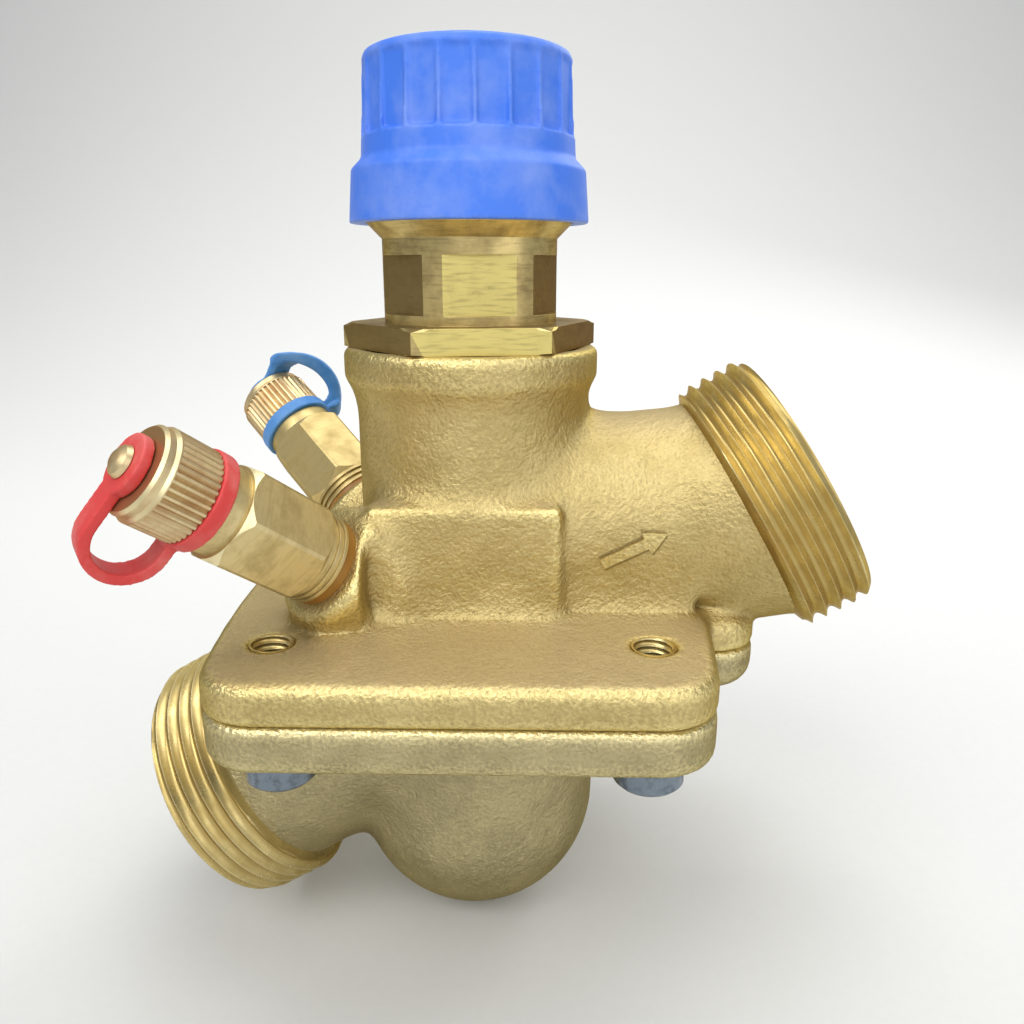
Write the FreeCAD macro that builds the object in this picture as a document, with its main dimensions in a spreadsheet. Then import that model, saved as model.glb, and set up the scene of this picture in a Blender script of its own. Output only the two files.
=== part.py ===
"""Pressure independent control valve with two threaded ports, a screwed-on lower bowl,
a bonnet with a hand-turned cap and two pressure test points.

Millimetres. The stem stands along +Z and water runs towards +X, up a slanted axis. The origin is
the middle of the inlet's sealing face. Each piece is drawn about the flow centre, the point where
the slanted flow axis crosses the stem axis, and its Placement then carries it from there.
"""
import math
import os

import FreeCAD
import Part
import Sketcher
from FreeCAD import Vector

# Driving sizes in millimetres and degrees; heights are above the flow centre
SIZES = {
    # slanted flow axis with a male pipe thread at each end
    "flow_angle": 30.0,
    "inlet_run": 50.0,
    "outlet_run": 59.9,
    "port_thread_radius": 20.955,
    "port_thread_length": 11.4,
    "port_neck_radius": 18.6,
    "port_neck_length": 7.5,
    "port_bore_radius": 13.5,
    "port_chamfer": 1.0,
    # joint between the two castings
    "joint_height": 6.6,
    "upper_flange_thickness": 5.7,
    "lower_flange_thickness": 6.8,
    "flange_half_width": 36.0,
    "flange_side_bow": 3.4,
    "flange_half_depth": 39.4,
    "flange_corner_radius": 8.0,
    "flange_edge_round": 1.6,
    "joint_bevel": 0.5,
    "ear_stand_out": 0.5,
    "ear_offset_y": 9.0,
    "ear_radius": 7.0,
    "ear_edge_round": 3.5,
    # upper casting
    "neck_radius": 17.45,
    "collar_radius": 19.2,
    "collar_top": 50.05,
    "collar_height": 4.35,
    "collar_cone_height": 2.8,
    "collar_chamfer": 0.5,
    "duct_radius": 16.6,
    "duct_axis_height": 23.2,
    "duct_bore_radius": 10.0,
    "duct_bore_height": 26.0,
    "duct_web_inset": 0.5,
    "duct_web_reach": 33.0,
    "pad_half_width": 13.6,
    "pad_top": 29.3,
    "pad_front": 18.9,
    "pad_edge_round": 0.8,
    # lower casting
    "bowl_radius": 20.0,
    "bowl_depth": 25.0,
    "bowl_wall": 3.5,
    # four socket head screws, put in from below
    "screw_half_spacing": 26.0,
    "screw_thread_radius": 2.9,
    "screw_engagement": 3.2,
    "screw_head_radius": 5.0,
    "screw_head_height": 6.0,
    "screw_socket_width": 5.0,
    "screw_socket_depth": 3.0,
    "screw_pad_radius": 6.6,
    "screw_pad_height": 2.0,
    "screw_bevel": 0.6,
    # clearances: between fitted pieces, round seals, and beyond the end of a stroke
    "fit_gap": 0.05,
    "seal_gap": 0.15,
    "end_play": 1.0,
    # diaphragm and its chambers
    "chamber_radius": 27.0,
    "upper_chamber_height": 2.6,
    "lower_chamber_depth": 3.8,
    "diaphragm_radius": 30.8,
    "diaphragm_thickness": 1.2,
    "diaphragm_bead_width": 2.8,
    "diaphragm_bead_height": 2.4,
    "diaphragm_roll_height": 1.0,
    "diaphragm_roll_margin": 1.5,
    "diaphragm_plate_radius": 19.0,
    "diaphragm_plate_thickness": 1.5,
    # regulator plug, which slides inside the seat insert
    "plug_neck_radius": 9.0,
    "plug_lip_radius": 9.8,
    "plug_lip_thickness": 0.8,
    "plug_tube_radius": 7.8,
    "plug_tube_bore_radius": 6.3,
    "plug_guide_height": 5.0,
    "plug_tube_height": 3.7,
    "plug_roof_thickness": 1.2,
    "plug_window_width": 6.0,
    "plug_window_margin": 0.2,
    "regulator_spring_radius": 9.7,
    "regulator_spring_wire": 0.7,
    "regulator_spring_turns": 2.5,
    # seat insert
    "seat_height": 23.0,
    "seat_bore_radius": 7.0,
    "seat_rim_width": 1.4,
    "seat_rim_height": 1.0,
    "seat_roof_thickness": 3.5,
    "insert_radius": 13.0,
    "insert_wall": 1.5,
    "insert_shoulder": 0.8,
    # control plug on the stem
    "control_plug_radius": 9.2,
    "control_plug_thickness": 3.0,
    "control_hub_radius": 5.0,
    "control_hub_height": 3.5,
    "control_lip_radius": 6.2,
    "control_lip_thickness": 1.2,
    "plug_seal_thickness": 1.5,
    "plug_seal_bore_radius": 5.5,
    # stem and its return spring
    "stem_radius": 2.0,
    "stem_lift": 4.0,
    "stem_projection": 3.8,
    "stem_tip_bevel": 0.5,
    "stem_collar_radius": 5.6,
    "stem_collar_thickness": 2.0,
    "stem_spring_height": 13.0,
    "stem_spring_radius": 5.0,
    "stem_spring_wire": 0.6,
    "stem_spring_turns": 5.0,
    # straight chords in one turn of a spring
    "spring_chords": 16,
    # bonnet
    "bonnet_thread_radius": 14.0,
    "bonnet_thread_length": 14.05,
    "bonnet_hex_width": 33.0,
    "bonnet_hex_corner_radius": 18.4,
    "bonnet_hex_height": 3.65,
    "bonnet_hex_bevel": 0.5,
    "bonnet_hex_base_bevel": 0.2,
    "bonnet_neck_radius": 12.9,
    "bonnet_neck_height": 11.8,
    "bonnet_flat_width": 23.7,
    "bonnet_flat_margin": 1.3,
    "bonnet_flat_height": 8.2,
    "bonnet_hex_turn": 1.0,
    "bonnet_flat_turn": 10.0,
    "bonnet_flare_height": 2.1,
    "cap_thread_radius": 15.0,
    "cap_thread_length": 6.6,
    "cap_thread_chamfer": 0.8,
    "spring_pocket_depth": 7.0,
    "spring_pocket_radius": 7.0,
    "bonnet_ring_radius": 15.2,
    "bonnet_ring_section": 1.0,
    # gland nut with the stem's sealing ring
    "gland_radius": 8.5,
    "gland_hex_width": 12.0,
    "gland_hex_height": 2.6,
    "gland_hex_root": 1.0,
    "stem_ring_section": 0.85,
    "stem_ring_depth": 5.5,
    # protection cap
    "cap_height": 22.5,
    "cap_skirt_radius": 17.45,
    "cap_skirt_top_radius": 16.9,
    "cap_skirt_height": 7.2,
    "cap_shoulder_height": 1.5,
    "cap_grip_radius": 15.4,
    "cap_top_radius": 14.75,
    "cap_edge_round": 1.0,
    "cap_fit_gap": 0.08,
    "cap_bore_slope": 1.5,
    "cap_grip_wall": 2.6,
    "cap_roof_thickness": 2.4,
    "cap_boss_radius": 4.0,
    "cap_flute_count": 20,
    "cap_flute_width": 4.1,
    "cap_flute_radius": 14.4,
    "cap_flute_start": 11.6,
    "cap_flute_length": 9.6,
    "cap_rest_turn": -1.7,
    # test points: two slanted axes from one point of the stem axis
    "test_elevation": 35.8,
    "test_height": 1.6,
    "red_azimuth": 224.4,
    "red_boss_reach": 34.3,
    "blue_azimuth": 143.4,
    "blue_boss_reach": 32.3,
    "test_boss_radius": 9.2,
    "test_boss_root": 16.0,
    "test_boss_bevel": 1.0,
    "boss_pad_overlap": 1.8,
    "test_thread_radius": 4.86,
    "test_thread_length": 8.0,
    "test_drilling_radius": 1.5,
    "blue_drilling_lean": 31.0,
    "blue_drilling_length": 17.0,
    "test_seal_thickness": 1.5,
    "test_seal_radius": 6.3,
    "test_collar_radius": 6.5,
    "test_collar_length": 2.6,
    "test_collar_groove": 0.4,
    "test_hex_width": 13.0,
    "test_hex_corner_radius": 7.35,
    "test_hex_length": 13.4,
    "test_hex_bevel": 1.0,
    "red_hex_turn": 32.0,
    "blue_hex_turn": 21.0,
    "test_shoulder_radius": 6.0,
    "test_shoulder_length": 2.2,
    "test_groove_radius": 4.9,
    "test_nipple_radius": 4.7,
    "test_nipple_length": 5.4,
    "test_core_radius": 2.5,
    "test_core_length": 15.0,
    "test_core_recess": 2.0,
    "test_cap_radius": 6.4,
    "test_cap_length": 7.6,
    "test_cap_roof": 1.1,
    "test_cap_rim_length": 1.7,
    "test_cap_rim_radius": 5.6,
    "test_cap_edge_round": 0.4,
    "knurl_count": 40,
    "knurl_depth": 0.35,
    "knurl_overrun": 0.2,
    "test_stud_radius": 1.4,
    "test_stud_head_radius": 2.2,
    "test_stud_head_height": 1.3,
    # straps that keep the test point caps
    "strap_thickness": 1.45,
    "strap_width": 3.8,
    "strap_eyelet_radius": 4.0,
    "strap_ring_radius": 6.7,
    "strap_ring_length": 2.2,
    "strap_gap": 0.1,
    "strap_overlap": 1.0,
    "strap_reach": 8.3,
    "red_strap_turn": -15.0,
    "blue_strap_turn": 212.0,
    # length by which a cutting tool passes through a face
    "overrun": 1.0,
}

doc = FreeCAD.newDocument("control_valve")
dims = doc.addObject("Spreadsheet::Sheet", "dims")
for row, (alias, size) in enumerate(SIZES.items(), start=1):
    dims.set(f"A{row}", alias)
    dims.set(f"B{row}", str(size))
    dims.setAlias(f"B{row}", alias)
doc.recompute()

# Levels and places that several pieces share, as expressions over the sheet
FLOW_X = "dims.inlet_run * cos(dims.flow_angle)"
FLOW_Z = "dims.inlet_run * sin(dims.flow_angle)"
JOINT = "dims.joint_height"
FLANGE_TOP = f"({JOINT} + dims.upper_flange_thickness)"
FLANGE_BOTTOM = f"({JOINT} - dims.lower_flange_thickness)"
SEAT = "dims.seat_height"
SEAT_ROOF = f"({SEAT} - dims.seat_rim_height - dims.seat_roof_thickness)"
BONNET_END = "(dims.collar_top - dims.bonnet_thread_length)"
SPRING_FLOOR = "(dims.collar_top - dims.spring_pocket_depth)"
STEM_COLLAR = f"({SPRING_FLOOR} + dims.stem_spring_height)"
GLAND_END = f"({STEM_COLLAR} + dims.stem_collar_thickness + dims.stem_lift + dims.end_play)"
BONNET_NECK = "(dims.collar_top + dims.bonnet_hex_height)"
FLARE = f"({BONNET_NECK} + dims.bonnet_neck_height)"
CAP_THREAD = f"({FLARE} + dims.bonnet_flare_height)"
BONNET_TOP = f"({CAP_THREAD} + dims.cap_thread_length)"
STEM_TOP = f"({BONNET_TOP} + dims.stem_projection)"
DIAPHRAGM_TOP = f"({JOINT} + dims.diaphragm_thickness / 2)"
DIAPHRAGM_BASE = f"({JOINT} - dims.diaphragm_thickness / 2)"
PLATE_BASE = f"({DIAPHRAGM_BASE} - dims.diaphragm_plate_thickness)"
GUIDE_TOP = f"({DIAPHRAGM_TOP} + dims.plug_guide_height)"
GUIDE_BORE = "(dims.insert_radius - dims.insert_wall)"
HEX_FLAT_RATIO = "cos(30)"

# Lengths closer than this count as equal
NEAR = 1e-4

pieces = []


def value(expression):
    """The number that an expression over the sheet stands for."""
    return float(dims.evalExpression(expression))


def at(x="0", y="0", z="0", yaw="0", pitch="0"):
    """Placement expression: a point, and turns about Z and then the tilted Y."""
    return f"placement(vector({x}; {y}; {z}); rotation({yaw}; {pitch}; 0))"


def along_flow(distance):
    """Placement on the slanted flow axis, with the local Z along the flow."""
    x = f"({distance}) * cos(dims.flow_angle)"
    z = f"({distance}) * sin(dims.flow_angle)"
    return at(x, "0", z, "0", "90 - dims.flow_angle")


def test_point(side, distance):
    """Coordinates of a place on a test point's axis, by its distance from the stem axis."""
    level = f"({distance}) * cos(dims.test_elevation)"
    return (f"{level} * cos(dims.{side}_azimuth)", f"{level} * sin(dims.{side}_azimuth)",
            f"dims.test_height + ({distance}) * sin(dims.test_elevation)")


def along_test(side, distance):
    """Placement on a test point's axis, with the local Z outwards."""
    return at(*test_point(side, distance), f"dims.{side}_azimuth", "90 - dims.test_elevation")


AT_FLOW_CENTRE = at(FLOW_X, "0", FLOW_Z)


def piece(label, shape_object, place=None):
    """Name a finished piece and carry it from the flow centre to its place on the valve."""
    shape_object.Label = label
    shape_object.setExpression("Placement", f"{AT_FLOW_CENTRE} * {place}" if place else AT_FLOW_CENTRE)
    pieces.append(shape_object)


def primitive(kind, name, place=None, **sizes):
    """A Part primitive whose sizes are bound to the sheet."""
    item = doc.addObject(f"Part::{kind}", name)
    for size_name, expression in sizes.items():
        item.setExpression(size_name, expression)
    if place:
        item.setExpression("Placement", place)
    return item


def hexagon(name, width, height, place):
    """A hexagonal prism given by its width across flats."""
    item = primitive("Prism", name, place, Height=height,
                     Circumradius=f"{width} / 2 / {HEX_FLAT_RATIO}")
    item.Polygon = 6
    return item


def fuse(name, items):
    item = doc.addObject("Part::MultiFuse", name)
    item.Shapes = items
    return item


def cut(name, base, tools):
    """Cut the tools from a base one after another."""
    for number, tool in enumerate(tools, start=1):
        item = doc.addObject("Part::Cut", name if number == len(tools) else f"{name}_cut_{number}")
        item.Base = base
        item.Tool = tool
        item.Refine = False
        base = item
    return base


def common(name, items):
    item = doc.addObject("Part::MultiCommon", name)
    item.Shapes = items
    return item


def origin_feature(body, role):
    return next(item for item in body.Origin.OriginFeatures if item.Role == role)


def new_sketch(body, name, plane):
    sketch = body.newObject("Sketcher::SketchObject", name)
    sketch.AttachmentSupport = (origin_feature(body, plane), [""])
    sketch.MapMode = "FlatFace"
    return sketch


def hold(sketch, geometry, vertex, x, y):
    """Hold a sketch vertex at a place given by two expressions."""
    for kind, expression, axis in (("DistanceX", x, -2), ("DistanceY", y, -1)):
        if expression == "0":
            sketch.addConstraint(Sketcher.Constraint("PointOnObject", geometry, vertex, axis))
            continue
        number = sketch.addConstraint(Sketcher.Constraint(kind, geometry, vertex, value(expression)))
        sketch.setExpression(f"Constraints[{number}]", expression)


def polygon(body, name, plane, corners):
    """A closed outline whose corners are pairs of expressions."""
    sketch = new_sketch(body, name, plane)
    points = [Vector(value(x), value(y), 0) for x, y in corners]
    count = len(points)
    for index in range(count):
        sketch.addGeometry(Part.LineSegment(points[index], points[(index + 1) % count]), False)
    for index in range(count):
        sketch.addConstraint(Sketcher.Constraint("Coincident", index, 2, (index + 1) % count, 1))
    for index, (x, y) in enumerate(corners):
        hold(sketch, index, 1, x, y)
    return sketch


def turned(name, profile):
    """A body turned about its Z axis from a profile of radius and height."""
    body = doc.addObject("PartDesign::Body", name)
    sketch = polygon(body, f"{name}_profile", "XZ_Plane", profile)
    turning = body.newObject("PartDesign::Revolution", f"{name}_turning")
    turning.Profile = sketch
    turning.ReferenceAxis = (sketch, ["V_Axis"])
    turning.Angle = 360
    return body


def ring(name, inner, outer, low, high):
    return turned(name, [(inner, low), (outer, low), (outer, high), (inner, high)])


def polar_pockets(body, name, outline, start, length, count):
    """Repeat a pocket round the body's Z axis, from a start height upwards."""
    doc.recompute()
    before = body.Shape.Volume
    sketch = polygon(body, f"{name}_outline", "XY_Plane", outline)
    sketch.setExpression("AttachmentOffset.Base.z", start)
    pocket = body.newObject("PartDesign::Pocket", name)
    pocket.Profile = sketch
    pocket.Reversed = True
    pocket.setExpression("Length", length)
    pattern = body.newObject("PartDesign::PolarPattern", f"{name}_pattern")
    pattern.Originals = [pocket]
    pattern.Axis = (origin_feature(body, "Z_Axis"), [""])
    pattern.Angle = 360
    pattern.setExpression("Occurrences", count)
    body.Tip = pattern
    doc.recompute()
    if body.Shape.Volume >= before:
        raise RuntimeError(f"{name} cuts nothing")
    return body


def coil(name, radius, wire, low, high, turns):
    """A wire spring between two heights, swept along straight chords of its helix."""
    start = value(f"{low} + {wire} + dims.seal_gap")
    end = value(f"{high} - {wire} - dims.seal_gap")
    chords = round(value(turns) * value("dims.spring_chords"))
    path = doc.addObject("Part::Polygon", f"{name}_path")
    path.Close = False
    nodes = []
    for index in range(chords + 1):
        angle = math.tau * value(turns) * index / chords
        nodes.append(Vector(value(radius) * math.cos(angle), value(radius) * math.sin(angle),
                            start + (end - start) * index / chords))
    path.Nodes = nodes
    section = primitive("RegularPolygon", f"{name}_section", Circumradius=wire)
    section.Polygon = 6
    section.Placement = FreeCAD.Placement(nodes[0], FreeCAD.Rotation(Vector(0, 0, 1), nodes[1] - nodes[0]))
    spring = doc.addObject("Part::Sweep", name)
    spring.Sections = [section]
    spring.Spine = (path, [])
    spring.Solid = True
    spring.Transition = "Right corner"
    return spring


def is_upright(edge):
    box = edge.BoundBox
    return box.XLength < NEAR and box.YLength < NEAR


def is_level_at(height):
    """A test for edges that lie in the level plane at a height."""
    level = value(height)

    def test(edge):
        box = edge.BoundBox
        return box.ZLength < NEAR and abs(box.ZMin - level) < NEAR
    return test


def dress(body, kind, name, size_name, expression, test):
    """Round or bevel the edges of a body's last feature that pass a test."""
    doc.recompute()
    base = body.Tip
    chosen = [f"Edge{index}" for index, edge in enumerate(base.Shape.Edges, start=1) if test(edge)]
    feature = body.newObject(f"PartDesign::{kind}", name)
    feature.Base = (base, chosen)
    feature.setExpression(size_name, expression)
    return feature


def block(name, outline, low, high):
    """A body padded from a level outline between two heights."""
    body = doc.addObject("PartDesign::Body", name)
    sketch = polygon(body, f"{name}_outline", "XY_Plane", outline)
    sketch.setExpression("AttachmentOffset.Base.z", low)
    pad = body.newObject("PartDesign::Pad", f"{name}_pad")
    pad.Profile = sketch
    pad.setExpression("Length", f"{high} - {low}")
    return body


def flange_plate(name, low, high, round_at, bevel_at):
    """One half of the flange: straight front and back, bowed sides, rounded corners."""
    body = doc.addObject("PartDesign::Body", name)
    sketch = new_sketch(body, f"{name}_outline", "XY_Plane")
    sketch.setExpression("AttachmentOffset.Base.z", low)
    end_half_width = "(dims.flange_half_width - dims.flange_side_bow)"
    bow_radius = "((dims.flange_half_depth ^ 2 + dims.flange_side_bow ^ 2) / (2 * dims.flange_side_bow))"
    end, depth = value(end_half_width), value("dims.flange_half_depth")
    side = value("dims.flange_half_width")
    front_left, front_right = Vector(-end, -depth, 0), Vector(end, -depth, 0)
    back_left, back_right = Vector(-end, depth, 0), Vector(end, depth, 0)
    sketch.addGeometry(Part.LineSegment(front_left, front_right), False)
    sketch.addGeometry(Part.Arc(front_right, Vector(side, 0, 0), back_right), False)
    sketch.addGeometry(Part.LineSegment(back_right, back_left), False)
    sketch.addGeometry(Part.Arc(back_left, Vector(-side, 0, 0), front_left), False)
    for index in range(4):
        sketch.addConstraint(Sketcher.Constraint("Coincident", index, 2, (index + 1) % 4, 1))
    hold(sketch, 0, 1, f"-{end_half_width}", "-dims.flange_half_depth")
    hold(sketch, 0, 2, end_half_width, "-dims.flange_half_depth")
    hold(sketch, 2, 1, end_half_width, "dims.flange_half_depth")
    hold(sketch, 2, 2, f"-{end_half_width}", "dims.flange_half_depth")
    for arc in (1, 3):
        number = sketch.addConstraint(Sketcher.Constraint("Radius", arc, value(bow_radius)))
        sketch.setExpression(f"Constraints[{number}]", bow_radius)
    pad = body.newObject("PartDesign::Pad", f"{name}_pad")
    pad.Profile = sketch
    pad.setExpression("Length", f"{high} - {low}")
    dress(body, "Fillet", f"{name}_corners", "Radius", "dims.flange_corner_radius", is_upright)
    dress(body, "Fillet", f"{name}_edge", "Radius", "dims.flange_edge_round", is_level_at(round_at))
    dress(body, "Chamfer", f"{name}_bevel", "Size", "dims.joint_bevel", is_level_at(bevel_at))
    return body


# Upper casting: flange, neck with collar, outlet duct and port, pad, ear and test point bosses

def port_thread(name, run, tilt):
    """A port's chamfered thread, from its neck to its sealing face."""
    thread_start = f"{run} - dims.port_thread_length"
    thread = turned(f"{name}_thread", [
        ("0", thread_start), ("dims.port_neck_radius", thread_start),
        ("dims.port_thread_radius", f"{thread_start} + dims.port_chamfer"),
        ("dims.port_thread_radius", f"{run} - dims.port_chamfer"),
        ("dims.port_thread_radius - dims.port_chamfer", run), ("0", run)])
    thread.setExpression("Placement", at(pitch=tilt))
    return thread


def ear(name, low, high, round_at):
    """Half of the boss on the flange's side, with its outer edge well rounded."""
    stub = ring(name, "0", "dims.ear_radius", low, high)
    dress(stub, "Fillet", f"{name}_edge", "Radius", "dims.ear_edge_round", is_level_at(round_at))
    stub.setExpression("Placement", at("dims.flange_half_width + dims.ear_stand_out", "-dims.ear_offset_y"))
    return stub


upper_flange = flange_plate("upper_flange", JOINT, FLANGE_TOP, FLANGE_TOP, JOINT)
collar_base = "(dims.collar_top - dims.collar_height)"
neck_top = f"({collar_base} - dims.collar_cone_height)"
neck = turned("neck", [
    ("0", JOINT), ("dims.neck_radius", JOINT), ("dims.neck_radius", neck_top),
    ("dims.collar_radius", collar_base),
    ("dims.collar_radius", "dims.collar_top - dims.collar_chamfer"),
    ("dims.collar_radius - dims.collar_chamfer", "dims.collar_top"), ("0", "dims.collar_top")])

outlet_thread_start = "dims.outlet_run - dims.port_thread_length"
outlet_neck = f"({outlet_thread_start} - dims.port_neck_length)"
duct_bar = primitive("Cylinder", "duct_bar", at(z="dims.duct_axis_height", pitch="90"),
                     Radius="dims.duct_radius", Height="2 * dims.outlet_run")
mitre_size = "4 * dims.outlet_run"
mitre = primitive("Box", "mitre", f"{along_flow(outlet_neck)} * "
                  f"{at(f'-{mitre_size} / 2', f'-{mitre_size} / 2')}",
                  Length=mitre_size, Width=mitre_size, Height=mitre_size)
duct = cut("duct", duct_bar, [mitre])
duct_end_x = f"({outlet_neck} - dims.duct_axis_height * sin(dims.flow_angle)) / cos(dims.flow_angle)"
duct_end = primitive("Ellipse", "duct_end",
                     at(duct_end_x, "0", "dims.duct_axis_height", "0", "90 - dims.flow_angle"),
                     MajorRadius="dims.duct_radius / cos(dims.flow_angle)", MinorRadius="dims.duct_radius")
neck_end = primitive("Circle", "neck_end", along_flow(f"{outlet_thread_start} + dims.port_chamfer / 2"),
                     Radius="dims.port_neck_radius")
neck_loft = doc.addObject("Part::Loft", "outlet_neck")
neck_loft.Sections = [duct_end, neck_end]
neck_loft.Solid = True
neck_loft.Ruled = True
outlet_thread = port_thread("outlet", "dims.outlet_run", "90 - dims.flow_angle")
web_half = "(dims.duct_radius - dims.duct_web_inset)"
duct_web = block("duct_web", [("0", f"-{web_half}"), ("dims.duct_web_reach", f"-{web_half}"),
                              ("dims.duct_web_reach", web_half), ("0", web_half)],
                 JOINT, "dims.duct_axis_height")

pad_left, pad_right, pad_front = "-dims.pad_half_width", "dims.pad_half_width", "-dims.pad_front"
pad = block("pad", [(pad_left, pad_front), (pad_right, pad_front), (pad_right, "0"), (pad_left, "0")],
            JOINT, "dims.pad_top")


def is_pad_rim(edge):
    return edge.BoundBox.YMax < value(pad_front) + NEAR and edge.BoundBox.ZMax > value(JOINT) + NEAR


dress(pad, "Fillet", "pad_rim", "Radius", "dims.pad_edge_round", is_pad_rim)

upper_ear = ear("upper_ear", JOINT, FLANGE_TOP, FLANGE_TOP)


def test_boss(side):
    """A bevelled boss on a test point's axis."""
    reach = f"dims.{side}_boss_reach"
    boss = turned(f"{side}_boss", [
        ("0", "dims.test_boss_root"), ("dims.test_boss_radius", "dims.test_boss_root"),
        ("dims.test_boss_radius", f"{reach} - dims.test_boss_bevel"),
        ("dims.test_boss_radius - dims.test_boss_bevel", reach), ("0", reach)])
    boss.setExpression("Placement", along_test(side, "0"))
    return boss


pad_clearance = primitive("Box", "pad_clearance",
                          at(pad_left, f"{pad_front} - dims.boss_pad_overlap - dims.pad_half_width", JOINT),
                          Length="2 * dims.pad_half_width", Width="dims.pad_half_width",
                          Height="dims.collar_top")
red_boss = cut("red_boss_beside_pad", test_boss("red"), [pad_clearance])
upper_solid = fuse("upper_solid", [upper_flange, neck, duct, duct_web, pad, upper_ear, red_boss,
                                   test_boss("blue"), neck_loft, outlet_thread])

below_joint = primitive("Box", "below_joint",
                        at("-2 * dims.flange_half_width", "-2 * dims.flange_half_depth",
                           f"{JOINT} - dims.flange_half_depth"),
                        Length="3 * dims.flange_half_width + dims.ear_radius",
                        Width="4 * dims.flange_half_depth", Height="dims.flange_half_depth")
upper_bores = turned("upper_bores", [
    ("0", f"{JOINT} - dims.fit_gap"),
    ("dims.diaphragm_radius + dims.seal_gap", f"{JOINT} - dims.fit_gap"),
    ("dims.diaphragm_radius + dims.seal_gap", f"{JOINT} + dims.diaphragm_bead_height / 2 + dims.fit_gap"),
    ("dims.chamber_radius", f"{JOINT} + dims.diaphragm_bead_height / 2 + dims.fit_gap"),
    ("dims.chamber_radius", f"{JOINT} + dims.upper_chamber_height"),
    ("dims.insert_radius + dims.fit_gap", f"{JOINT} + dims.upper_chamber_height"),
    ("dims.insert_radius + dims.fit_gap", f"{SEAT} - dims.seat_rim_height"),
    ("dims.insert_radius - dims.insert_shoulder", f"{SEAT} - dims.seat_rim_height"),
    ("dims.insert_radius - dims.insert_shoulder", f"{BONNET_END} - dims.collar_chamfer"),
    ("dims.bonnet_thread_radius + dims.fit_gap", f"{BONNET_END} - dims.collar_chamfer"),
    ("dims.bonnet_thread_radius + dims.fit_gap",
     "dims.collar_top - 2 * dims.bonnet_ring_section - 3 * dims.seal_gap"),
    ("dims.bonnet_ring_radius + dims.bonnet_ring_section + dims.seal_gap",
     "dims.collar_top - 2 * dims.bonnet_ring_section - 3 * dims.seal_gap"),
    ("dims.bonnet_ring_radius + dims.bonnet_ring_section + dims.seal_gap", "dims.collar_top + dims.overrun"),
    ("0", "dims.collar_top + dims.overrun")])
duct_bore = primitive("Cylinder", "duct_bore", at(z="dims.duct_bore_height", pitch="90"),
                      Radius="dims.duct_bore_radius", Height=f"({outlet_neck}) * cos(dims.flow_angle) + "
                      "dims.port_bore_radius * sin(dims.flow_angle)")
outlet_bore = primitive("Cylinder", "outlet_bore", along_flow(f"{outlet_neck} - dims.overrun"),
                        Radius="dims.port_bore_radius",
                        Height="dims.port_thread_length + dims.port_neck_length + 2 * dims.overrun")
signs = [(x, y) for x in (-1, 1) for y in (-1, 1)]


def screw_holes(name, low, high):
    """Four through holes for the flange screws."""
    return [primitive("Cylinder", f"{name}_{index}",
                      at(f"{x} * dims.screw_half_spacing", f"{y} * dims.screw_half_spacing", low),
                      Radius="dims.screw_thread_radius + dims.fit_gap", Height=f"{high} - ({low})")
            for index, (x, y) in enumerate(signs)]


def tapped_hole(side):
    """The hole for a test point's shank, a little deeper than the shank is long."""
    depth = "dims.test_thread_length + dims.end_play"
    start = f"dims.{side}_boss_reach - ({depth})"
    return primitive("Cylinder", f"{side}_tapped_hole", along_test(side, start),
                     Radius="dims.test_thread_radius + dims.fit_gap", Height=f"{depth} + dims.overrun")


# Fine drillings from the tapped holes: red down to the diaphragm chamber, blue up to the outlet space
red_x, red_y, red_z = test_point("red", "dims.red_boss_reach - dims.test_thread_length")
red_drilling = primitive("Cylinder", "red_drilling", at(red_x, red_y, JOINT),
                         Radius="dims.test_drilling_radius", Height=f"{red_z} - {JOINT}")
blue_end = test_point("blue", "dims.blue_boss_reach - dims.test_thread_length")
blue_drilling = primitive("Cylinder", "blue_drilling",
                          at(*blue_end, "dims.blue_azimuth", "-dims.blue_drilling_lean"),
                          Radius="dims.test_drilling_radius", Height="dims.blue_drilling_length")

upper_body = cut("upper_body", upper_solid,
                 [below_joint, upper_bores, duct_bore, outlet_bore, tapped_hole("red"), tapped_hole("blue"),
                  red_drilling, blue_drilling]
                 + screw_holes("upper_hole", f"{JOINT} - dims.overrun", f"{FLANGE_TOP} + dims.overrun"))
piece("upper_body", upper_body)

# Lower casting: flange, round bowl, inlet port and ear

lower_flange = flange_plate("lower_flange", FLANGE_BOTTOM, JOINT, FLANGE_BOTTOM, JOINT)
bowl_wall = primitive("Cylinder", "bowl_side", at(z="-dims.bowl_depth"), Radius="dims.bowl_radius",
                      Height=f"dims.bowl_depth + {JOINT}")
bowl_end = primitive("Sphere", "bowl_end", at(z="-dims.bowl_depth"), Radius="dims.bowl_radius")
inlet_neck = "dims.port_neck_radius / 4"
inlet_tilt = "270 - dims.flow_angle"
inlet_bar = primitive("Cylinder", "inlet_neck", f"{at(pitch=inlet_tilt)} * {at(z=inlet_neck)}",
                      Radius="dims.port_neck_radius",
                      Height=f"dims.inlet_run - dims.port_thread_length - {inlet_neck} + dims.port_chamfer")
inlet_port = [inlet_bar, port_thread("inlet", "dims.inlet_run", inlet_tilt)]
screw_seat = f"({FLANGE_BOTTOM} - dims.screw_pad_height)"
head_pads = [primitive("Cylinder", f"head_pad_{index}",
                       at(f"{x} * dims.screw_half_spacing", f"{y} * dims.screw_half_spacing", screw_seat),
                       Radius="dims.screw_pad_radius",
                       Height="dims.screw_pad_height + dims.lower_flange_thickness / 2")
             for index, (x, y) in enumerate(signs)]
lower_ear = ear("lower_ear", FLANGE_BOTTOM, JOINT, FLANGE_BOTTOM)
lower_solid = fuse("lower_solid", [lower_flange, bowl_wall, bowl_end, lower_ear] + head_pads + inlet_port)

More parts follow.
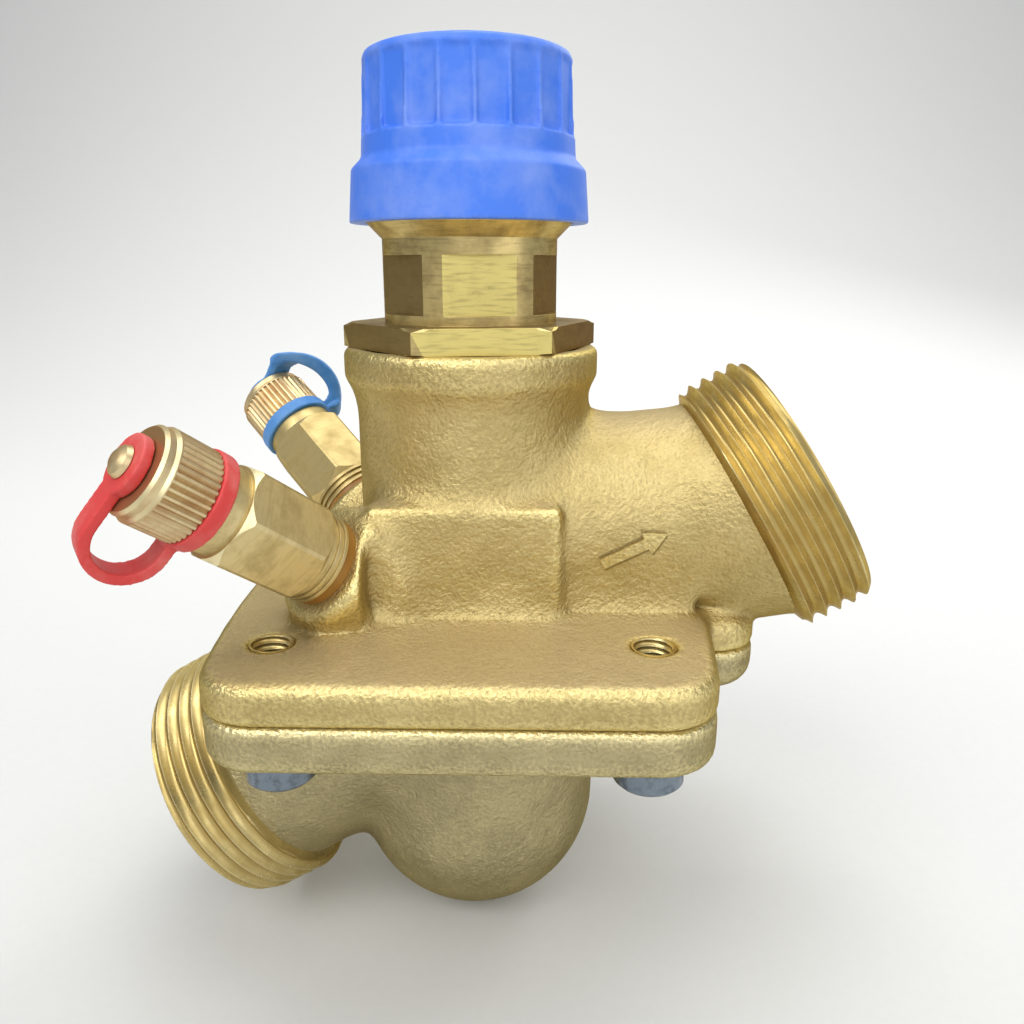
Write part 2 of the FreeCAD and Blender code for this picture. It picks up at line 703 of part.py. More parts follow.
above_joint = primitive("Box", "above_joint",
                        at("-2 * dims.flange_half_width", "-2 * dims.flange_half_depth", JOINT),
                        Length="4 * dims.flange_half_width", Width="4 * dims.flange_half_depth",
                        Height="dims.flange_half_depth")
lower_bores = turned("lower_bores", [
    ("0", "-dims.bowl_depth"), ("dims.bowl_radius - dims.bowl_wall", "-dims.bowl_depth"),
    ("dims.bowl_radius - dims.bowl_wall", f"{JOINT} - dims.lower_chamber_depth"),
    ("dims.chamber_radius", f"{JOINT} - dims.lower_chamber_depth"),
    ("dims.chamber_radius", f"{JOINT} - dims.diaphragm_bead_height / 2 - dims.fit_gap"),
    ("dims.diaphragm_radius + dims.seal_gap", f"{JOINT} - dims.diaphragm_bead_height / 2 - dims.fit_gap"),
    ("dims.diaphragm_radius + dims.seal_gap", f"{JOINT} + dims.overrun"), ("0", f"{JOINT} + dims.overrun")])
bowl_hollow = primitive("Sphere", "bowl_hollow", at(z="-dims.bowl_depth"),
                        Radius="dims.bowl_radius - dims.bowl_wall")
inlet_bore = primitive("Cylinder", "inlet_bore", along_flow("-dims.inlet_run - dims.overrun"),
                       Radius="dims.port_bore_radius", Height="dims.inlet_run - dims.port_bore_radius / 2")
lower_cover = cut("lower_cover", lower_solid,
                  [above_joint, lower_bores, bowl_hollow, inlet_bore]
                  + screw_holes("lower_hole", f"{screw_seat} - dims.overrun", f"{JOINT} + dims.overrun"))
piece("lower_cover", lower_cover)

# Flange screws: hexagon socket heads under the lower flange

def socket_screw(index, x, y):
    head_end = f"({screw_seat} - dims.screw_head_height)"
    thread_end = f"({JOINT} + dims.screw_engagement)"
    blank = turned(f"screw_{index}", [
        ("0", head_end), ("dims.screw_head_radius - dims.screw_bevel", head_end),
        ("dims.screw_head_radius", f"{head_end} + dims.screw_bevel"),
        ("dims.screw_head_radius", screw_seat), ("dims.screw_thread_radius", screw_seat),
        ("dims.screw_thread_radius", f"{thread_end} - dims.screw_bevel"),
        ("dims.screw_thread_radius - dims.screw_bevel", thread_end), ("0", thread_end)])
    socket = hexagon(f"screw_socket_{index}", "dims.screw_socket_width",
                     "dims.screw_socket_depth + dims.overrun", at(z=f"{head_end} - dims.overrun"))
    screw = cut(f"socket_screw_{index}", blank, [socket])
    screw.setExpression("Placement", at(f"{x} * dims.screw_half_spacing", f"{y} * dims.screw_half_spacing"))
    return screw


screws = doc.addObject("Part::Compound", "flange_screws")
screws.Links = [socket_screw(index, x, y) for index, (x, y) in enumerate(signs)]
piece("flange_screws", screws)

# Regulator: diaphragm with a rolled edge, its plate, the sliding plug and the spring

roll_inner = "(dims.diaphragm_plate_radius + dims.diaphragm_roll_margin)"
roll_middle = f"(({roll_inner} + dims.chamber_radius) / 2)"
bead_inner = "(dims.diaphragm_radius - dims.diaphragm_bead_width)"
bead_half = "dims.diaphragm_bead_height / 2"
piece("diaphragm", turned("diaphragm", [
    ("dims.plug_neck_radius + dims.fit_gap", DIAPHRAGM_BASE), (roll_inner, DIAPHRAGM_BASE),
    (roll_middle, f"{DIAPHRAGM_BASE} + dims.diaphragm_roll_height"), (bead_inner, DIAPHRAGM_BASE),
    (bead_inner, f"{JOINT} - {bead_half}"), ("dims.diaphragm_radius", f"{JOINT} - {bead_half}"),
    ("dims.diaphragm_radius", f"{JOINT} + {bead_half}"), (bead_inner, f"{JOINT} + {bead_half}"),
    (bead_inner, DIAPHRAGM_TOP), (roll_middle, f"{DIAPHRAGM_TOP} + dims.diaphragm_roll_height"),
    (roll_inner, DIAPHRAGM_TOP), ("dims.plug_neck_radius + dims.fit_gap", DIAPHRAGM_TOP)]))

piece("diaphragm_plate", ring("diaphragm_plate", "dims.plug_neck_radius + dims.fit_gap",
                              "dims.diaphragm_plate_radius", PLATE_BASE, DIAPHRAGM_BASE))

guide_radius = f"({GUIDE_BORE} - dims.fit_gap)"
tube_top = f"({GUIDE_TOP} + dims.plug_tube_height)"
plug_turning = turned("plug_turning", [
    ("dims.plug_tube_bore_radius", f"{PLATE_BASE} - dims.plug_lip_thickness"),
    ("dims.plug_lip_radius", f"{PLATE_BASE} - dims.plug_lip_thickness"), ("dims.plug_lip_radius", PLATE_BASE),
    ("dims.plug_neck_radius", PLATE_BASE), ("dims.plug_neck_radius", DIAPHRAGM_TOP),
    (guide_radius, DIAPHRAGM_TOP), (guide_radius, GUIDE_TOP), ("dims.plug_tube_radius", GUIDE_TOP),
    ("dims.plug_tube_radius", f"{tube_top} - dims.plug_roof_thickness"),
    ("dims.plug_tube_bore_radius", tube_top), ("0", tube_top),
    ("0", f"{tube_top} - dims.plug_roof_thickness"),
    ("dims.plug_tube_bore_radius", f"{tube_top} - dims.plug_roof_thickness")])
window_height = "(dims.plug_tube_height - dims.plug_roof_thickness - 2 * dims.plug_window_margin)"
windows = [primitive("Box", f"plug_window_{index}",
                     f"{at(z=f'{GUIDE_TOP} + dims.plug_window_margin', yaw=turn)} * "
                     f"{at(y='-dims.plug_window_width / 2')}",
                     Length="dims.plug_tube_radius + dims.overrun", Width="dims.plug_window_width",
                     Height=window_height)
           for index, turn in enumerate((0, 90, 180, 270))]
piece("regulator_plug", cut("regulator_plug", plug_turning, windows))
piece("regulator_spring", coil("regulator_spring", "dims.regulator_spring_radius",
                               "dims.regulator_spring_wire", GUIDE_TOP, SEAT_ROOF,
                               "dims.regulator_spring_turns"))

# Seat insert: guides the regulator plug below and takes the control plug above

insert_base = f"({JOINT} + dims.upper_chamber_height)"
insert_top = f"({SEAT} - dims.seat_rim_height)"
rim_radius = "(dims.seat_bore_radius + dims.seat_rim_width)"
piece("seat_insert", turned("seat_insert", [
    (GUIDE_BORE, insert_base), ("dims.insert_radius", insert_base), ("dims.insert_radius", insert_top),
    (rim_radius, insert_top), (rim_radius, SEAT), ("dims.seat_bore_radius", SEAT),
    ("dims.seat_bore_radius", SEAT_ROOF), (GUIDE_BORE, SEAT_ROOF)]))

# Control plug with its seal, closed on the seat

seal_top = f"({SEAT} + dims.plug_seal_thickness)"
disc_top = f"({seal_top} + dims.control_plug_thickness)"
hub_top = f"({disc_top} + dims.control_hub_height)"
stem_end = f"({seal_top} + dims.control_plug_thickness / 3)"
spigot_radius = "(dims.plug_seal_bore_radius - dims.fit_gap)"
piece("control_plug", turned("control_plug", [
    ("0", f"{SEAT} - dims.fit_gap - dims.control_lip_thickness"),
    ("dims.control_lip_radius", f"{SEAT} - dims.fit_gap - dims.control_lip_thickness"),
    ("dims.control_lip_radius", f"{SEAT} - dims.fit_gap"), (spigot_radius, f"{SEAT} - dims.fit_gap"),
    (spigot_radius, seal_top), ("dims.control_plug_radius", seal_top), ("dims.control_plug_radius", disc_top),
    ("dims.control_hub_radius", disc_top), ("dims.control_hub_radius", hub_top),
    ("dims.stem_radius + dims.fit_gap", hub_top), ("dims.stem_radius + dims.fit_gap", stem_end),
    ("0", stem_end)]))
piece("plug_seal", ring("plug_seal", "dims.plug_seal_bore_radius", "dims.control_plug_radius",
                        SEAT, seal_top))

# Stem with its spring collar, and the spring that lifts it

piece("stem", turned("stem", [
    ("0", stem_end), ("dims.stem_radius", stem_end), ("dims.stem_radius", STEM_COLLAR),
    ("dims.stem_collar_radius", STEM_COLLAR),
    ("dims.stem_collar_radius", f"{STEM_COLLAR} + dims.stem_collar_thickness"),
    ("dims.stem_radius", f"{STEM_COLLAR} + dims.stem_collar_thickness"),
    ("dims.stem_radius", f"{STEM_TOP} - dims.stem_tip_bevel"),
    ("dims.stem_radius - dims.stem_tip_bevel", STEM_TOP), ("0", STEM_TOP)]))
piece("stem_spring", coil("stem_spring", "dims.stem_spring_radius", "dims.stem_spring_wire",
                          SPRING_FLOOR, STEM_COLLAR, "dims.stem_spring_turns"))

# Bonnet: turned neck with milled flats, a hexagon on the collar and the cap's thread above

stem_bore = "(dims.stem_radius + dims.fit_gap)"
bonnet_turning = turned("bonnet_turning", [
    (stem_bore, BONNET_END), ("dims.bonnet_thread_radius - dims.collar_chamfer", BONNET_END),
    ("dims.bonnet_thread_radius", f"{BONNET_END} + dims.collar_chamfer"),
    ("dims.bonnet_thread_radius", "dims.collar_top"), ("dims.bonnet_thread_radius", BONNET_NECK),
    ("dims.bonnet_neck_radius", BONNET_NECK), ("dims.bonnet_neck_radius", FLARE),
    ("dims.cap_thread_radius", CAP_THREAD),
    ("dims.cap_thread_radius", f"{BONNET_TOP} - dims.cap_thread_chamfer"),
    ("dims.cap_thread_radius - dims.cap_thread_chamfer", BONNET_TOP),
    ("dims.gland_radius + dims.fit_gap", BONNET_TOP), ("dims.gland_radius + dims.fit_gap", GLAND_END),
    ("dims.spring_pocket_radius", GLAND_END), ("dims.spring_pocket_radius", SPRING_FLOOR),
    (stem_bore, SPRING_FLOOR)])
flat_place = at(z=f"{BONNET_NECK} + dims.bonnet_flat_margin", yaw="dims.bonnet_flat_turn")
flat_blank = primitive("Cylinder", "flat_blank", flat_place, Radius="dims.bonnet_hex_width",
                       Height="dims.bonnet_flat_height")
flat_prism = hexagon("flat_prism", "dims.bonnet_flat_width", "dims.bonnet_flat_height", flat_place)
milled = cut("milled_bonnet", bonnet_turning, [cut("flat_milling", flat_blank, [flat_prism])])
hex_prism = hexagon("hex_prism", "dims.bonnet_hex_width", "dims.bonnet_hex_height",
                    at(z="dims.collar_top", yaw="dims.bonnet_hex_turn"))
hex_corner = "dims.bonnet_hex_corner_radius"
hex_root = "dims.bonnet_neck_radius - dims.overrun"
hex_ring = turned("hex_ring", [
    (hex_root, "dims.collar_top"), (f"{hex_corner} - dims.bonnet_hex_base_bevel", "dims.collar_top"),
    (hex_corner, "dims.collar_top + dims.bonnet_hex_base_bevel"),
    (hex_corner, f"{BONNET_NECK} - dims.bonnet_hex_bevel"),
    (f"{hex_corner} - dims.bonnet_hex_bevel", BONNET_NECK), (hex_root, BONNET_NECK)])
piece("bonnet", fuse("bonnet", [milled, common("hex_collar", [hex_prism, hex_ring])]))

ring_level = "dims.collar_top - dims.bonnet_ring_section - 1.5 * dims.seal_gap"
bonnet_ring = primitive("Torus", "bonnet_o_ring", Radius1="dims.bonnet_ring_radius",
                        Radius2="dims.bonnet_ring_section")
piece("bonnet_o_ring", bonnet_ring, at(z=ring_level))

# Gland nut and the ring that seals the stem

ring_centre = f"({BONNET_TOP} - dims.stem_ring_depth)"
ring_mean = "(dims.stem_radius + dims.stem_ring_section + dims.seal_gap)"
ring_groove = "(dims.stem_ring_section + dims.seal_gap)"
gland_top = f"({BONNET_TOP} - dims.gland_hex_root)"
gland_turning = turned("gland_turning", [
    (stem_bore, GLAND_END), ("dims.gland_radius", GLAND_END), ("dims.gland_radius", gland_top),
    (stem_bore, gland_top), (stem_bore, f"{ring_centre} + {ring_groove}"),
    (f"{ring_mean} + {ring_groove}", f"{ring_centre} + {ring_groove}"),
    (f"{ring_mean} + {ring_groove}", f"{ring_centre} - {ring_groove}"),
    (stem_bore, f"{ring_centre} - {ring_groove}")])
gland_prism = hexagon("gland_prism", "dims.gland_hex_width", "dims.gland_hex_height", at(z=gland_top))
gland_hole = primitive("Cylinder", "gland_hole", at(z=f"{gland_top} - dims.overrun"), Radius=stem_bore,
                       Height="dims.gland_hex_height + 2 * dims.overrun")
gland_head = cut("gland_head", gland_prism, [gland_hole])
piece("gland_nut", fuse("gland_nut", [gland_turning, gland_head]))
stem_ring = primitive("Torus", "stem_o_ring", Radius1=ring_mean, Radius2="dims.stem_ring_section")
piece("stem_o_ring", stem_ring, at(z=ring_centre))

# Protection cap: fluted grip over a plain skirt, hollow, with a boss that bears on the stem

cap_top = f"({CAP_THREAD} + dims.cap_height)"
skirt_top = f"({CAP_THREAD} + dims.cap_skirt_height)"
grip_base = f"({skirt_top} + dims.cap_shoulder_height)"
cap_bore = "(dims.cap_thread_radius + dims.cap_fit_gap)"
grip_bore = "(dims.cap_top_radius - dims.cap_grip_wall)"
cap_edge = [(f"dims.cap_top_radius - dims.cap_edge_round * (1 - cos({angle}))",
             f"{cap_top} - dims.cap_edge_round * (1 - sin({angle}))") for angle in (0, 45, 90)]
cap = turned("protection_cap", [
    (cap_bore, CAP_THREAD), ("dims.cap_skirt_radius", CAP_THREAD), ("dims.cap_skirt_top_radius", skirt_top),
    ("dims.cap_grip_radius", grip_base), *cap_edge, ("0", cap_top), ("0", STEM_TOP),
    ("dims.cap_boss_radius", STEM_TOP), ("dims.cap_boss_radius", f"{cap_top} - dims.cap_roof_thickness"),
    (grip_bore, f"{cap_top} - dims.cap_roof_thickness"), (grip_bore, f"{BONNET_TOP} + dims.cap_bore_slope"),
    (cap_bore, BONNET_TOP)])
flute_half = "dims.cap_flute_width / 2"
polar_pockets(cap, "cap_flute", [
    ("dims.cap_flute_radius", f"-{flute_half}"), ("dims.cap_skirt_radius", f"-{flute_half}"),
    ("dims.cap_skirt_radius", flute_half), ("dims.cap_flute_radius", flute_half)],
    f"{CAP_THREAD} + dims.cap_flute_start", "dims.cap_flute_length", "dims.cap_flute_count")
piece("protection_cap", cap, at(yaw="dims.cap_rest_turn"))

# Test points: the two are alike, each on its own axis, drawn from the face of its boss

COLLAR_FROM = "dims.test_seal_thickness"
HEX_FROM = f"({COLLAR_FROM} + dims.test_collar_length)"
HEX_TO = f"({HEX_FROM} + dims.test_hex_length)"
GROOVE_FROM = f"({HEX_TO} + dims.test_shoulder_length)"
GROOVE_TO = f"({GROOVE_FROM} + dims.strap_ring_length + 2 * dims.strap_gap)"
NIPPLE_TO = f"({GROOVE_TO} + dims.test_nipple_length)"
CAP_TO = f"({GROOVE_TO} + dims.test_cap_length)"
STUD_TO = f"({CAP_TO} + dims.strap_thickness + 2 * dims.strap_gap)"
core_bore = "(dims.test_core_radius + dims.fit_gap)"


def test_body(side):
    """Hexagonal valve body: tapped shank, ribbed collar, strap groove and nipple, bored through."""
    collar = "dims.test_collar_radius"
    groove = f"({collar} - dims.test_collar_groove)"
    steps = [f"({COLLAR_FROM} + {part} * dims.test_collar_length / 5)" for part in range(6)]
    ribs = []
    for part in range(5):
        radius = groove if part % 2 else collar
        ribs += [(radius, steps[part]), (radius, steps[part + 1])]
    shaft = turned(f"{side}_shaft", [
        (core_bore, "-dims.test_thread_length"), ("dims.test_thread_radius", "-dims.test_thread_length"),
        ("dims.test_thread_radius", COLLAR_FROM)] + ribs + [
        ("dims.test_shoulder_radius", HEX_FROM), ("dims.test_shoulder_radius", GROOVE_FROM),
        ("dims.test_groove_radius", GROOVE_FROM), ("dims.test_groove_radius", GROOVE_TO),
        ("dims.test_nipple_radius", GROOVE_TO), ("dims.test_nipple_radius", NIPPLE_TO),
        (core_bore, NIPPLE_TO)])
    prism = hexagon(f"{side}_hex_prism", "dims.test_hex_width", "dims.test_hex_length",
                    at(z=HEX_FROM, yaw=f"dims.{side}_hex_turn"))
    corner = "dims.test_hex_corner_radius"
    flat = "dims.test_hex_width / 2"
    barrel = turned(f"{side}_barrel", [
        ("dims.test_thread_radius", HEX_FROM), (flat, HEX_FROM),
        (corner, f"{HEX_FROM} + dims.test_hex_bevel"), (corner, f"{HEX_TO} - dims.test_hex_bevel"),
        (flat, HEX_TO), ("dims.test_thread_radius", HEX_TO)])
    return fuse(f"{side}_test_body", [shaft, common(f"{side}_hex", [prism, barrel])])


def test_cap(side):
    """Knurled screw cap with a smooth rim and a stud for the strap's eyelet."""
    radius = "dims.test_cap_radius"
    rim_from = f"({CAP_TO} - dims.test_cap_rim_length)"
    bore = "(dims.test_nipple_radius + dims.fit_gap)"
    roof = f"({CAP_TO} - dims.test_cap_roof)"
    dome = [(f"dims.test_stud_head_radius * cos({angle})",
             f"{STUD_TO} + dims.test_stud_head_height * sin({angle})") for angle in (0, 30, 60)]
    body = turned(f"{side}_test_cap", [
        (bore, GROOVE_TO), (radius, GROOVE_TO), (radius, rim_from),
        (f"{radius} - dims.test_cap_edge_round", f"{rim_from} + dims.test_cap_edge_round"),
        ("dims.test_cap_rim_radius + dims.test_cap_edge_round", f"{CAP_TO} - dims.test_cap_edge_round"),
        ("dims.test_cap_rim_radius", CAP_TO), ("dims.test_stud_radius", CAP_TO),
        ("dims.test_stud_radius", STUD_TO), *dome, ("0", f"{STUD_TO} + dims.test_stud_head_height"),
        ("0", roof), (bore, roof)])
    base = f"({radius} - dims.knurl_depth)"
    rim = f"({radius} + dims.knurl_overrun)"
    half = "(dims.knurl_depth + dims.knurl_overrun)"
    return polar_pockets(body, f"{side}_knurl", [(base, "0"), (rim, f"-{half}"), (rim, half)],
                         f"{GROOVE_TO} - dims.knurl_overrun", f"{rim_from} - {GROOVE_TO}", "dims.knurl_count")


def strap(side):
    """Flat strap: an eyelet on the cap's stud, a round loop, and a ring in the body's groove."""
    half = "dims.strap_thickness / 2"
    eyelet = f"({CAP_TO} + dims.strap_gap + {half})"
    ring_middle = f"({GROOVE_FROM} + dims.strap_gap + dims.strap_ring_length / 2)"
    loop_radius = f"(({eyelet} - {ring_middle}) / 2)"
    loop_middle = f"({eyelet} + {ring_middle}) / 2"
    loop_place = (f"placement(vector(dims.strap_reach; -dims.strap_width / 2; {loop_middle});"
                  " rotation(0; -90; -90))")
    loop_outer = primitive("Cylinder", f"{side}_loop_outer", loop_place, Radius=f"{loop_radius} + {half}",
                           Height="dims.strap_width", Angle="180")
    loop_inner = primitive("Cylinder", f"{side}_loop_inner", loop_place, Radius=f"{loop_radius} - {half}",
                           Height="dims.strap_width")
    legs = []
    for name, middle in (("eyelet", eyelet), ("ring", ring_middle)):
        leg_from = f"dims.strap_{name}_radius - dims.strap_overlap"
        legs.append(primitive("Box", f"{side}_leg_{name}",
                              at(leg_from, "-dims.strap_width / 2", f"{middle} - {half}"),
                              Length=f"dims.strap_reach - ({leg_from})", Width="dims.strap_width",
                              Height="dims.strap_thickness"))
    eyelet_ring = ring(f"{side}_eyelet", "dims.test_stud_radius + dims.strap_gap", "dims.strap_eyelet_radius",
                       f"{eyelet} - {half}", f"{eyelet} + {half}")
    groove_ring = ring(f"{side}_groove_ring", "dims.test_groove_radius + dims.strap_gap",
                       "dims.strap_ring_radius", f"{ring_middle} - dims.strap_ring_length / 2",
                       f"{ring_middle} + dims.strap_ring_length / 2")
    loop = cut(f"{side}_loop", loop_outer, [loop_inner])
    return fuse(f"{side}_strap", [loop, eyelet_ring, groove_ring] + legs)


def test_core(side):
    core_from = f"({NIPPLE_TO} - dims.test_core_recess - dims.test_core_length)"
    return turned(f"{side}_test_core", [("0", core_from), ("dims.test_core_radius", core_from),
                                        ("dims.test_core_radius", f"{core_from} + dims.test_core_length"),
                                        ("0", f"{core_from} + dims.test_core_length")])


def test_seal(side):
    return ring(f"{side}_test_seal", "dims.test_thread_radius + dims.fit_gap", "dims.test_seal_radius",
                "0", "dims.test_seal_thickness")


for side in ("red", "blue"):
    place = along_test(side, f"dims.{side}_boss_reach")
    strap_place = f"{place} * {at(yaw=f'dims.{side}_strap_turn')}"
    piece(f"{side}_test_seal", test_seal(side), place)
    piece(f"{side}_test_body", test_body(side), place)
    piece(f"{side}_test_core", test_core(side), place)
    piece(f"{side}_test_cap", test_cap(side), place)
    piece(f"{side}_strap", strap(side), strap_place)

# Check every object and write one file for each piece

doc.recompute()
for item in doc.Objects:
    if {"Invalid", "Error"} & set(item.State):
        raise RuntimeError(f"{item.Name} failed: {item.State}")
for item in pieces:
    if item.Shape.isNull() or not item.Shape.isValid():
        raise RuntimeError(f"{item.Label} has no valid shape")
os.makedirs("parts", exist_ok=True)
for item in pieces:
    item.Shape.exportStep(f"parts/{item.Label}.step")
    box = item.Shape.BoundBox
    print(f"{item.Label}: {len(item.Shape.Solids)} solid(s), {item.Shape.Volume:.0f} mm3, "
          f"x {box.XMin:.1f} to {box.XMax:.1f}, y {box.YMin:.1f} to {box.YMax:.1f}, "
          f"z {box.ZMin:.1f} to {box.ZMax:.1f}")
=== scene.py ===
"""A brass control valve on a plain studio floor.

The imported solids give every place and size. The castings, straps and hand cap get rounded skins, the ports
get real threads, and each surface gets the finish of its own material.
"""
import math

import bmesh
import bpy
import numpy as np
from mathutils import Matrix, Vector
from mathutils.bvhtree import BVHTree


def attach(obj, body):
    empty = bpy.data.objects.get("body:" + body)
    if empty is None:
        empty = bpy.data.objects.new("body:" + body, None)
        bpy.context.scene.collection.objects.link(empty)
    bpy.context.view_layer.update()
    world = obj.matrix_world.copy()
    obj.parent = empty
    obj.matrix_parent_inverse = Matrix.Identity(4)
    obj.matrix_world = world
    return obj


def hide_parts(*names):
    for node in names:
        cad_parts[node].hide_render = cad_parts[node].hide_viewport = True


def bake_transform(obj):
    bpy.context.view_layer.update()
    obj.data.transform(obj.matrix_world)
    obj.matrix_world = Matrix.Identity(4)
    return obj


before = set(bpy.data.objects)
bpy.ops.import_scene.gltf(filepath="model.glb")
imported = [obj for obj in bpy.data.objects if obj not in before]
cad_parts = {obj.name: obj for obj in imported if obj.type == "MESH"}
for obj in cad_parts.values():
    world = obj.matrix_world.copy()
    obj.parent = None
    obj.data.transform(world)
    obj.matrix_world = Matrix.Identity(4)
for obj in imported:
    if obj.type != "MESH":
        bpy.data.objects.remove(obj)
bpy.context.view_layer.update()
MM = 0.001


# Lower cover: one brass casting with the bowl, the inlet port and the flange's lower half.
# Sand cast, so its skin is grainy and its corners are round.

FLOW_CENTRE = np.array((43.301, 0.0, 25.0)) * MM
FLOW_AXIS = np.array((math.cos(math.radians(30)), 0.0, math.sin(math.radians(30))))
STEM_AXIS = np.array((0.0, 0.0, 1.0))
SCREW_REACH = 26.0 * MM
INLET_RUN = 50.0 * MM
THREAD_LENGTH = 11.4 * MM
NECK_RADIUS = 18.6 * MM
CORE_RADIUS = 18.9 * MM
BOWL_CENTRE = np.array((43.301, 0.0, 0.0)) * MM
BOWL_WALL_MIDDLE = 18.4 * MM
FLANGE_BOTTOM = 24.8 * MM
BORE_CLEAR, SCREW_HEAD_CLEAR = 14.8 * MM, 7.5 * MM
EDGE_SLACK = 0.4 * MM
PORT_SLACK, CORE_SHORT = 0.1 * MM, 0.8 * MM
JOIN_DISTANCE = 0.002 * MM
CAST_VOXEL, CAST_PASSES, CAST_STANDOUT = 0.6 * MM, 2, 0.3 * MM
LOWER_FILLET_PASSES = 60


def tint(code):
    """An sRGB hex code as linear RGBA."""
    channels = [int(code[place:place + 2], 16) / 255 for place in (1, 3, 5)]
    return (*[c / 12.92 if c <= 0.04045 else ((c + 0.055) / 1.055) ** 2.4 for c in channels], 1.0)


def add_node(tree, kind, feeds=None, **settings):
    """Adds one node. Settings are its own properties, and feeds are values or sockets for its inputs."""
    made = tree.nodes.new(kind)
    for name, setting in settings.items():
        setattr(made, name, setting)
    for key, feed in (feeds or {}).items():
        if isinstance(feed, bpy.types.NodeSocket):
            tree.links.new(feed, made.inputs[key])
        else:
            made.inputs[key].default_value = feed
    return made


def new_material(name):
    """An empty node material and its tree."""
    material = bpy.data.materials.new(name)
    material.use_nodes = True
    material.node_tree.nodes.clear()
    return material, material.node_tree


def noise(tree, place, size, detail, roughness=0.5):
    """A noise pattern with lumps of about one size."""
    return add_node(tree, "ShaderNodeTexNoise", {"Vector": place, "Scale": 1 / size, "Detail": detail,
                                                 "Roughness": roughness}).outputs["Fac"]


def ranged(tree, value, span, target=(0.0, 1.0)):
    """A value taken from one span to another and held inside it."""
    return add_node(tree, "ShaderNodeMapRange", {"Value": value, "From Min": span[0], "From Max": span[1],
                                                 "To Min": target[0], "To Max": target[1]}).outputs[0]


def mixed(tree, share, first, second):
    """The colour between two, by a share."""
    return add_node(tree, "ShaderNodeMix", {0: share, 6: first, 7: second}, data_type="RGBA").outputs[2]


def figure(tree, operation, *terms):
    """What one sum gives."""
    return add_node(tree, "ShaderNodeMath", dict(enumerate(terms)), operation=operation).outputs[0]


def attribute(tree, name):
    """A value stored on the mesh."""
    return add_node(tree, "ShaderNodeAttribute", attribute_name=name).outputs["Fac"]


def surface(tree, feeds):
    """Ends a material with its shader."""
    shader = add_node(tree, "ShaderNodeBsdfPrincipled", feeds)
    add_node(tree, "ShaderNodeOutputMaterial", {"Surface": shader.outputs["BSDF"]})


def cast_brass(name, tones, hollow_and_shade, rubbed_and_highlight, upward_tone, grain, relief):
    """Sand-cast brass: a grainy skin, browner in hollows, bright on corners, paler where it faces up.

    The brown in hollows and round the flow arrow is painted shade. The bright corners and grain tops are
    rubbed brass with a painted highlight on them.
    """
    material, tree = new_material(name)
    place = add_node(tree, "ShaderNodeTexCoord").outputs["Object"]
    wear_and_painted_light = attribute(tree, "wear_and_painted_light")
    cloud = noise(tree, place, 8 * MM, 6.0, 0.6)
    sand = noise(tree, place, grain, 2.0, 0.55)
    lumps = noise(tree, place, 2.7 * grain, 1.0)
    # paler and less metallic where the surface faces up
    lying = ranged(tree, attribute(tree, "level"), (0.8, 0.99), (0.0, 0.75))
    sandy = ranged(tree, sand, (0.34, 0.5), (0.14, 0.0))
    # painted shade: hollows and the flow arrow's outline take the darker colour
    painted_hollow_shade = ranged(tree, wear_and_painted_light, (-0.08, -0.7), (0.0, 0.6))
    # rubbed corners and grain tops: paler and glossier, with a painted highlight
    proud = ranged(tree, figure(tree, "MULTIPLY_ADD", sand, 0.9, wear_and_painted_light), (0.56, 1.1), (0.0, 0.9))
    tone = mixed(tree, ranged(tree, cloud, (0.38, 0.62)), tint(tones[0]), tint(tones[1]))
    tone = mixed(tree, lying, tone, tint(upward_tone))
    tone = mixed(tree, sandy, tone, tint(hollow_and_shade))
    tone = mixed(tree, painted_hollow_shade, tone, tint(hollow_and_shade))
    tone = mixed(tree, proud, tone, tint(rubbed_and_highlight))
    bump = add_node(tree, "ShaderNodeBump",
                    {"Strength": ranged(tree, lying, (0.0, 1.0), (1.0, 0.45)), "Distance": relief,
                     "Height": figure(tree, "MULTIPLY_ADD", lumps, 0.9, sand)})
    surface(tree, {"Base Color": tone, "Metallic": ranged(tree, lying, (0.0, 1.0), (1.0, 0.55)),
                   "Roughness": ranged(tree, proud, (0.0, 1.0), (0.52, 0.36)), "Specular Tint": tint(hollow_and_shade),
                   "Normal": bump.outputs["Normal"]})
    return material


def joined(shape):
    """Joins a shape's split corners and drops faces without area."""
    bmesh.ops.remove_doubles(shape, verts=shape.verts, dist=JOIN_DISTANCE)
    bmesh.ops.dissolve_degenerate(shape, edges=shape.edges, dist=JOIN_DISTANCE)


def merged_copy(node):
    """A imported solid's mesh with its split corners joined, ready to be shaped."""
    shape = bmesh.new()
    shape.from_mesh(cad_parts[node].data)
    joined(shape)
    return shape


def evaluated_mesh(holder):
    """The mesh that an object's modifiers make, with the object gone."""
    bpy.context.scene.collection.objects.link(holder)
    mesh = bpy.data.meshes.new_from_object(holder.evaluated_get(bpy.context.evaluated_depsgraph_get()))
    bpy.data.objects.remove(holder)
    return mesh


def relaxed(points, edges, passes, strength):
    """Points moved towards the middle of their neighbours a number of times."""
    count = np.bincount(edges.ravel(), minlength=len(points))[:, None]
    for _ in range(passes):
        middle = np.empty_like(points)
        for axis in range(3):
            middle[:, axis] = (np.bincount(edges[:, 0], points[edges[:, 1], axis], len(points))
                               + np.bincount(edges[:, 1], points[edges[:, 0], axis], len(points)))
        points = points + strength * (middle / count - points)
    return points


def read_points(mesh, what="co"):
    """A mesh's points or normals as an array."""
    values = np.empty(len(mesh.vertices) * 3)
    if what == "co":
        mesh.vertices.foreach_get("co", values)
    else:
        mesh.vertex_normals.foreach_get("vector", values)
    return values.reshape(-1, 3)


